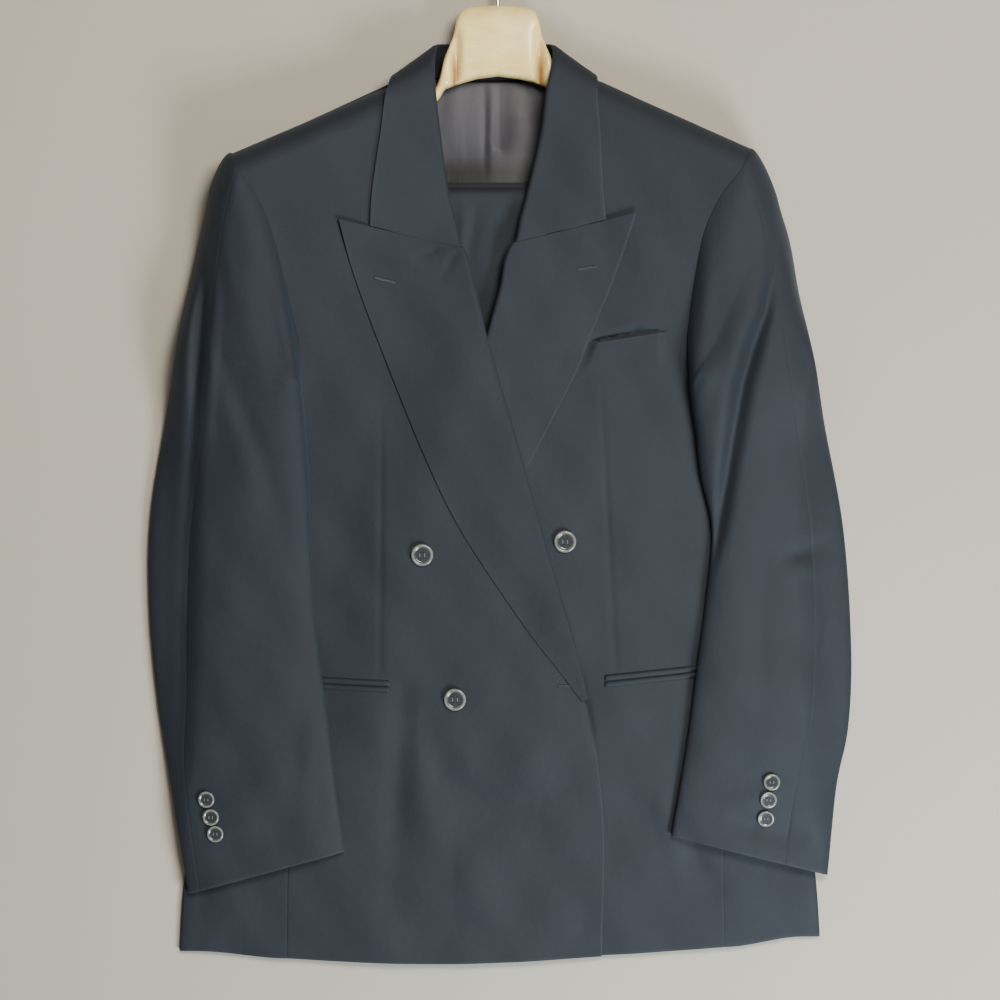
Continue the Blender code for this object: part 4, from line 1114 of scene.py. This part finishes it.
right_sleeve = sleeve(SLEEVE_RIGHT, RIGHT, SLEEVE_FOLDS_RIGHT, right_top, right_front, back(RIGHT))
left_sleeve = sleeve(SLEEVE_LEFT, LEFT, SLEEVE_FOLDS_LEFT, left_top, left_front, back(LEFT))
for side_name, rows, sleeve_tube, top_area, under_area in (
    ("right", SLEEVE_RIGHT, right_sleeve, 0.0685, 0.1039),
    ("left", SLEEVE_LEFT, left_sleeve, 0.0599, 0.0979),
):
    cloth(
        f"top_sleeve_{side_name}_cloth", top_sleeve(rows, sleeve_tube), (72, 240), (0.17, 0.66),
        "T",
    )
    cloth(
        f"under_sleeve_{side_name}_cloth", under_sleeve(rows, sleeve_tube), (60, 170), (0.20, 0.68),
        "T",
    )

# ---- Pockets and chest welt ----
# Narrow jets of the suiting, folded and stitched above and below each pocket's mouth, and a slanting
# welt on the left breast whose top stands a little open.


def strip(surface, corners, height):
    """A narrow cut laid on a panel: corners are lower left, lower right, upper left, upper right, and
    height(u, v) is how far it stands over the middle of the panel's wall."""
    (x00, up00), (x10, up10), (x01, up01), (x11, up11) = corners

    def point(u, v):
        x, up = mix(mix(x00, x10, u), mix(x01, x11, u), v), mix(mix(up00, up10, u), mix(up01, up11, u), v)
        return x, up, surface(x, up) + height(u, v)

    return point


def jet_height(u, v):
    """A jet is folded cloth: it rounds up between its stitching and the pocket's mouth."""
    return 0.3 + 1.7 * np.sin(math.pi * v) ** 0.6 * ease(np.minimum(u, 1 - u) / 0.02)


def welt_height(u, v):
    """The welt is sewn down along its foot and both ends, and its folded top stands off in a wave."""
    sewn = ease(np.minimum(u, 1 - u) / 0.12)
    return 0.25 + sewn * ease(v / 0.9) * (1.9 + 1.0 * np.sin(2.2 * math.pi * u))


JET_HIGH, JET_WALL, MOUTH = 4.8, 1.2, 0.9
for side_name, surface, x0, up0, x1, up1 in (
    ("right", right_top, -99, 251.5, -165, 254.5),
    ("left", left_top, 94, 256, 181, 265),
):
    for place_word, low in (("lower", -JET_HIGH - MOUTH / 2), ("upper", MOUTH / 2)):
        high = low + JET_HIGH
        corners = [(x0, up0 + low), (x1, up1 + low), (x0, up0 + high), (x1, up1 + high)]
        width = abs(x1 - x0) * MM
        cloth(
            f"pocket_{side_name}_{place_word}_jet_cloth", strip(surface, corners, jet_height), (90, 12),
            (width, 0.01), "", JET_WALL,
        )
WELT = [(68, 528), (150, 540), (80, 559.5), (149, 570)]
cloth(
    "chest_welt_cloth", strip(left_top, WELT, welt_height), (80, 40), (0.082, 0.032),
    "T", JET_WALL,
)

# ---- Buttons ----
# Four-hole buttons turned from dark horn and polished, with a raised rim round a dished middle. Each is
# sewn on through its holes with grey thread.

FRONT_BUTTON, CUFF_BUTTON = 20.0, 15.0
THREAD_RADIUS, THREAD_APART = 0.2, 0.28
# The rim's section, from the dish out and under: shares of the radius and of the thickness.
RIM = (
    (0.70, 0.74), (0.76, 0.92), (0.83, 0.99), (0.90, 0.97), (0.96, 0.86), (0.995, 0.62), (0.995, 0.42),
    (0.95, 0.22), (0.88, 0.06), (0.80, 0.0),
)


# Horn: smoky grey-brown with faint lighter streaks, polished to a soft gloss. Its dished middle is painted
# darker: painted shade in the hollow.
def horn_color(material):
    where = node(material, "TexCoord", "Object")
    streak = node(material, "Mapping", 0, {"Vector": where, "Scale": (90, 420, 90)})
    cloud = node(material, "TexNoise", 0, {"Vector": streak, "Scale": 1.0, "Detail": 5, "Distortion": 0.6})
    horn = node(material, "Mix", 2, {0: cloud, 6: "4A4C48", 7: "8A8C82"}, data_type="RGBA")
    reach = node(material, "Attribute", "Fac", attribute_name="reach")
    # Painted shade: the dished middle of the button is darkened.
    dark = node(material, "MapRange", 0, {0: reach, 1: 0.62, 2: 0.86, 3: 0.9, 4: 0.0})
    return node(material, "Mix", 2, {0: dark, 6: horn, 7: "1E2126"}, data_type="RGBA")


def horn_normal(material):
    where = node(material, "TexCoord", "Object")
    polish = node(material, "TexNoise", 0, {"Vector": where, "Scale": 900, "Detail": 2})
    return node(material, "Bump", 0, {"Height": polish, "Strength": 0.08, "Distance": 0.0002})


HORN = surface_finish("polished_horn", horn_color, horn_normal, Roughness=0.24, IOR=1.54, Coat_Weight=0.4)


# Sewing thread: spun and dull, with a ply about 0.3 mm long.
def thread_color(material):
    where = node(material, "TexCoord", "Object")
    ply = node(material, "TexNoise", 0, {"Vector": where, "Scale": 3000, "Detail": 2})
    return node(material, "Mix", 2, {0: ply, 6: "4A4E52", 7: "686C70"}, data_type="RGBA")


THREAD = surface_finish("sewing_thread", thread_color, horn_normal, Roughness=0.7)


def button(name, width, seat, normal, node_name):
    """A button seated on the cloth: its dished middle with four holes, then its rim, turned outwards
    and under, and the stitches across its holes."""
    radius, thick = width / 2, 0.17 * width
    dish, floor = 0.62 * radius, 0.62 * thick
    hole_share, hole_open = 1 / 3, 0.17
    mesh = bmesh.new()
    bmesh.ops.create_grid(mesh, x_segments=12, y_segments=12, size=1.0)
    middles = [Vector((a * hole_share, b * hole_share, 0)) for a in (-1, 1) for b in (-1, 1)]
    drilled = [f for c in middles for f in mesh.faces if (f.calc_center_median() - c).length < 0.16]
    bmesh.ops.delete(mesh, geom=drilled, context="FACES")
    for middle in middles:
        for vert in mesh.verts:
            away = vert.co - middle
            if away.length < 0.26:
                vert.co = middle + away.normalized() * hole_open
    for vert in mesh.verts:
        x, y = vert.co.x, vert.co.y
        vert.co = (x * math.sqrt(1 - y * y / 2) * dish, y * math.sqrt(1 - x * x / 2) * dish, floor)
    open_edges = [e for e in mesh.edges if e.is_boundary]
    rim = [e for e in open_edges if math.hypot(*e.verts[0].co[:2]) > 0.9 * dish]
    wells = [e for e in open_edges if e not in rim]
    sunk = bmesh.ops.extrude_edge_only(mesh, edges=wells)["geom"]
    floors = [g for g in sunk if isinstance(g, bmesh.types.BMVert)]
    bmesh.ops.translate(mesh, vec=(0, 0, -0.4 * thick), verts=floors)
    bmesh.ops.holes_fill(mesh, edges=[g for g in sunk if isinstance(g, bmesh.types.BMEdge)], sides=0)
    at = dish
    for reach, high in RIM:
        made = bmesh.ops.extrude_edge_only(mesh, edges=rim)["geom"]
        rim = [g for g in made if isinstance(g, bmesh.types.BMEdge)]
        for vert in [g for g in made if isinstance(g, bmesh.types.BMVert)]:
            scale = reach * radius / at
            vert.co = (vert.co.x * scale, vert.co.y * scale, high * thick)
        at = reach * radius
    bmesh.ops.holes_fill(mesh, edges=rim, sides=0)
    bmesh.ops.recalc_face_normals(mesh, faces=mesh.faces)
    share = mesh.verts.layers.float.new("reach")
    for vert in mesh.verts:
        vert[share] = math.hypot(vert.co.x, vert.co.y) / radius
    upright = Vector((0, 0, 1)).rotation_difference(Vector(normal)).to_matrix().to_4x4()
    to_place = Matrix.Translation(place(*seat)) @ upright @ Matrix.Diagonal((MM, MM, MM, 1))
    bmesh.ops.transform(mesh, matrix=to_place, verts=mesh.verts)
    piece(name, mesh, HORN, [node_name], sharp=60)

    mesh = bmesh.new()
    from_middle = 0.345 * dish
    for x in (-from_middle, from_middle):
        for shift in (-THREAD_APART, 0.0, THREAD_APART):
            strand = Matrix.Translation((x + shift, 0, floor + 0.12)) @ Matrix.Rotation(math.pi / 2, 4, "X")
            bmesh.ops.create_cone(
                mesh, segments=8, radius1=THREAD_RADIUS, radius2=THREAD_RADIUS, depth=2 * from_middle,
                cap_ends=True, cap_tris=False, matrix=strand,
            )
    long_edges = [e for e in mesh.edges if abs(e.verts[0].co.y - e.verts[1].co.y) > dish / 3]
    bmesh.ops.subdivide_edges(mesh, edges=long_edges, cuts=7)
    for vert in mesh.verts:
        bow = min(abs(vert.co.y) / from_middle, 1.0)
        vert.co.z += 0.3 * (1 - bow**2) - 0.5 * bow**6
    bmesh.ops.transform(mesh, matrix=to_place, verts=mesh.verts)
    piece(name + "_thread", mesh, THREAD, sharp=60)


def button_on(name, surface, x, up, width, node_name):
    """A button on a panel, square to the cloth and just clear of its highest point."""
    step = width / 2
    rise_x = float(surface(x + step, up) - surface(x - step, up)) / (2 * step)
    rise_up = float(surface(x, up + step) - surface(x, up - step)) / (2 * step)
    middle = float(surface(x, up))
    around = np.arange(12) * math.pi / 6
    dx, dup = step * np.cos(around), step * np.sin(around)
    bulge = max(0.0, float(np.max(surface(x + dx, up + dup) - middle - rise_x * dx - rise_up * dup)))
    button(name, width, (x, up, middle + WALL / 2 + SEAM + bulge), (-rise_x, -rise_up, 1), node_name)


button_on("front_button_upper_right_horn", right_top, -70, 370, FRONT_BUTTON, "front_button_upper_right")
button_on("front_button_lower_right_horn", right_top, -40.5, 240, FRONT_BUTTON, "front_button_lower_right")
button_on("front_button_upper_left_horn", left_top, 58.5, 382, FRONT_BUTTON, "front_button_upper_left")


def height_of(point, across, along):
    """The height of a cut at places, read off a fine net of its points."""
    u, v = np.meshgrid(np.linspace(*across, 120), np.linspace(*along, 160))
    xs, ups, zs = (a.ravel() for a in point(u.ravel(), v.ravel()))

    def surface(x, up):
        away = (np.atleast_1d(x)[:, None] - xs) ** 2 + (np.atleast_1d(up)[:, None] - ups) ** 2
        nearest = np.argsort(away, axis=1)[:, :4]
        weight = 1 / (np.take_along_axis(away, nearest, 1) + 0.01)
        found = (zs[nearest] * weight).sum(1) / weight.sum(1)
        return found if np.ndim(x) else found[0]

    return surface


CUFF_BUTTONS = table(
    "right_x right_up left_x left_up",
    (-264, 150, 244, 166),
    (-260, 134, 241, 150),
    (-256, 119, 239, 133),
)
for side_name, sleeve_tube in (("right", right_sleeve), ("left", left_sleeve)):
    surface = height_of(sleeve_tube, (0.3, 2.9), (0.7, 1.0))
    for k, (x, up) in enumerate(zip(CUFF_BUTTONS[side_name + "_x"], CUFF_BUTTONS[side_name + "_up"]), 1):
        name = f"cuff_button_{side_name}_{k}"
        button_on(name + "_horn", surface, float(x), float(up), CUFF_BUTTON, name)

# ---- Buttonholes ----
# Worked by hand: close stitches of silk twist over a cord, on both sides of a cut slit. One is in each
# lapel, and a small one is in the right front's edge for the inside button.


# Silk twist: round stitches 0.5 mm apart, a little brighter than the cloth.
def twist_color(material):
    where = node(material, "TexCoord", "Object")
    ply = node(material, "TexNoise", 0, {"Vector": where, "Scale": 2500, "Detail": 2})
    return node(material, "Mix", 2, {0: ply, 6: "1C2026", 7: "2C323A"}, data_type="RGBA")


TWIST = surface_finish("silk_twist", twist_color, horn_normal, Roughness=0.45)
STITCH, HALF_WIDE = 0.5, 1.1


def buttonhole(name, surface, x0, up0, x1, up1):
    length = math.hypot(x1 - x0, up1 - up0)
    run_x, run_up = (x1 - x0) / length, (up1 - up0) / length

    def point(u, v):
        along, turn = length * v, 2 * math.pi * u
        end = np.clip(np.minimum(along, length - along) / HALF_WIDE, 0.02, 1.0)
        reach = HALF_WIDE * np.sqrt(1 - (1 - end) ** 2)
        side = reach * np.cos(turn)
        slit = 0.35 * np.exp(-((side / 0.3) ** 2)) * (end >= 1)
        stitch = 1 + 0.16 * np.sin(2 * math.pi * along / STITCH)
        x, up = x0 + run_x * along - run_up * side, up0 + run_up * along + run_x * side
        rise = 0.32 * (1 + np.sin(turn)) * reach / HALF_WIDE * stitch - slit * (np.sin(turn) > 0)
        return x, up, surface(x, up) + WALL / 2 + 0.15 + rise

    piece(name, tube(point, 20, 160, (0.005, length * MM)), TWIST, sharp=70)


lapel_over = (0, 0.65), (0.7, 1.0)
buttonhole("lapel_right_buttonhole", height_of(right_lapel, *lapel_over), -112.5, 618.3, -93.6, 613.8)
buttonhole("lapel_left_buttonhole", height_of(left_lapel, *lapel_over), 69.3, 625.5, 87.3, 628.2)
buttonhole("front_right_buttonhole", right_top, 51.3, 252, 63.9, 252)

# ---- Floor, light and camera ----
# A plain pale floor, broad soft lights, and a long lens straight above the suit.

mesh = bmesh.new()
bmesh.ops.create_grid(mesh, x_segments=1, y_segments=1, size=6)
bmesh.ops.translate(mesh, vec=(0, 0, -0.0002), verts=mesh.verts)
data = bpy.data.meshes.new("floor")
mesh.to_mesh(data)
mesh.free()
floor = bpy.data.objects.new("floor", data)
bpy.context.collection.objects.link(floor)


# A matt pale paint on a smooth board.
def floor_color(material):
    where = node(material, "TexCoord", "Object")
    tone = node(material, "TexNoise", 0, {"Vector": where, "Scale": 2.0, "Detail": 3})
    return node(material, "Mix", 2, {0: tone, 6: "ABA391", 7: "B3AC9B"}, data_type="RGBA")


def floor_normal(material):
    where = node(material, "TexCoord", "Object")
    tooth = node(material, "TexNoise", 0, {"Vector": where, "Scale": 400, "Detail": 2})
    return node(material, "Bump", 0, {"Height": tooth, "Strength": 0.05, "Distance": 0.0003})


data.materials.append(surface_finish("pale_floor", floor_color, floor_normal, Roughness=0.8))

for name, spot, size, power, color in (
    ("window", (0.95, -1.3, 1.1), 0.6, 62, (0.8, 0.9, 1.0)),
    ("fill", (-1.3, 1.2, 1.7), 1.8, 5, (1.0, 0.95, 0.88)),
    ("overhead", (0.6, 0.8, 2.1), 0.8, 62, (1.0, 0.97, 0.92)),
):
    light = bpy.data.lights.new(name, "AREA")
    light.size = size
    light.energy = power
    light.color = color
    lamp = bpy.data.objects.new(name, light)
    lamp.location = spot
    lamp.rotation_euler = (Vector((0, 0, 0)) - Vector(spot)).to_track_quat("-Z", "Y").to_euler()
    bpy.context.collection.objects.link(lamp)
world = bpy.data.worlds.new("room")
world.use_nodes = True
world.node_tree.nodes["Background"].inputs["Color"].default_value = (0.95, 0.96, 1.0, 1)
world.node_tree.nodes["Background"].inputs["Strength"].default_value = 0.16
bpy.context.scene.world = world

ABOVE, FRAME_WIDE = 3.0, 0.9
lens = bpy.data.cameras.new("camera")
lens.sensor_width = 36
lens.lens = 36 * (ABOVE - 0.02) / FRAME_WIDE
camera = bpy.data.objects.new("camera", lens)
camera.location = (0.0, -0.0412, ABOVE)
bpy.context.collection.objects.link(camera)
bpy.context.scene.camera = camera
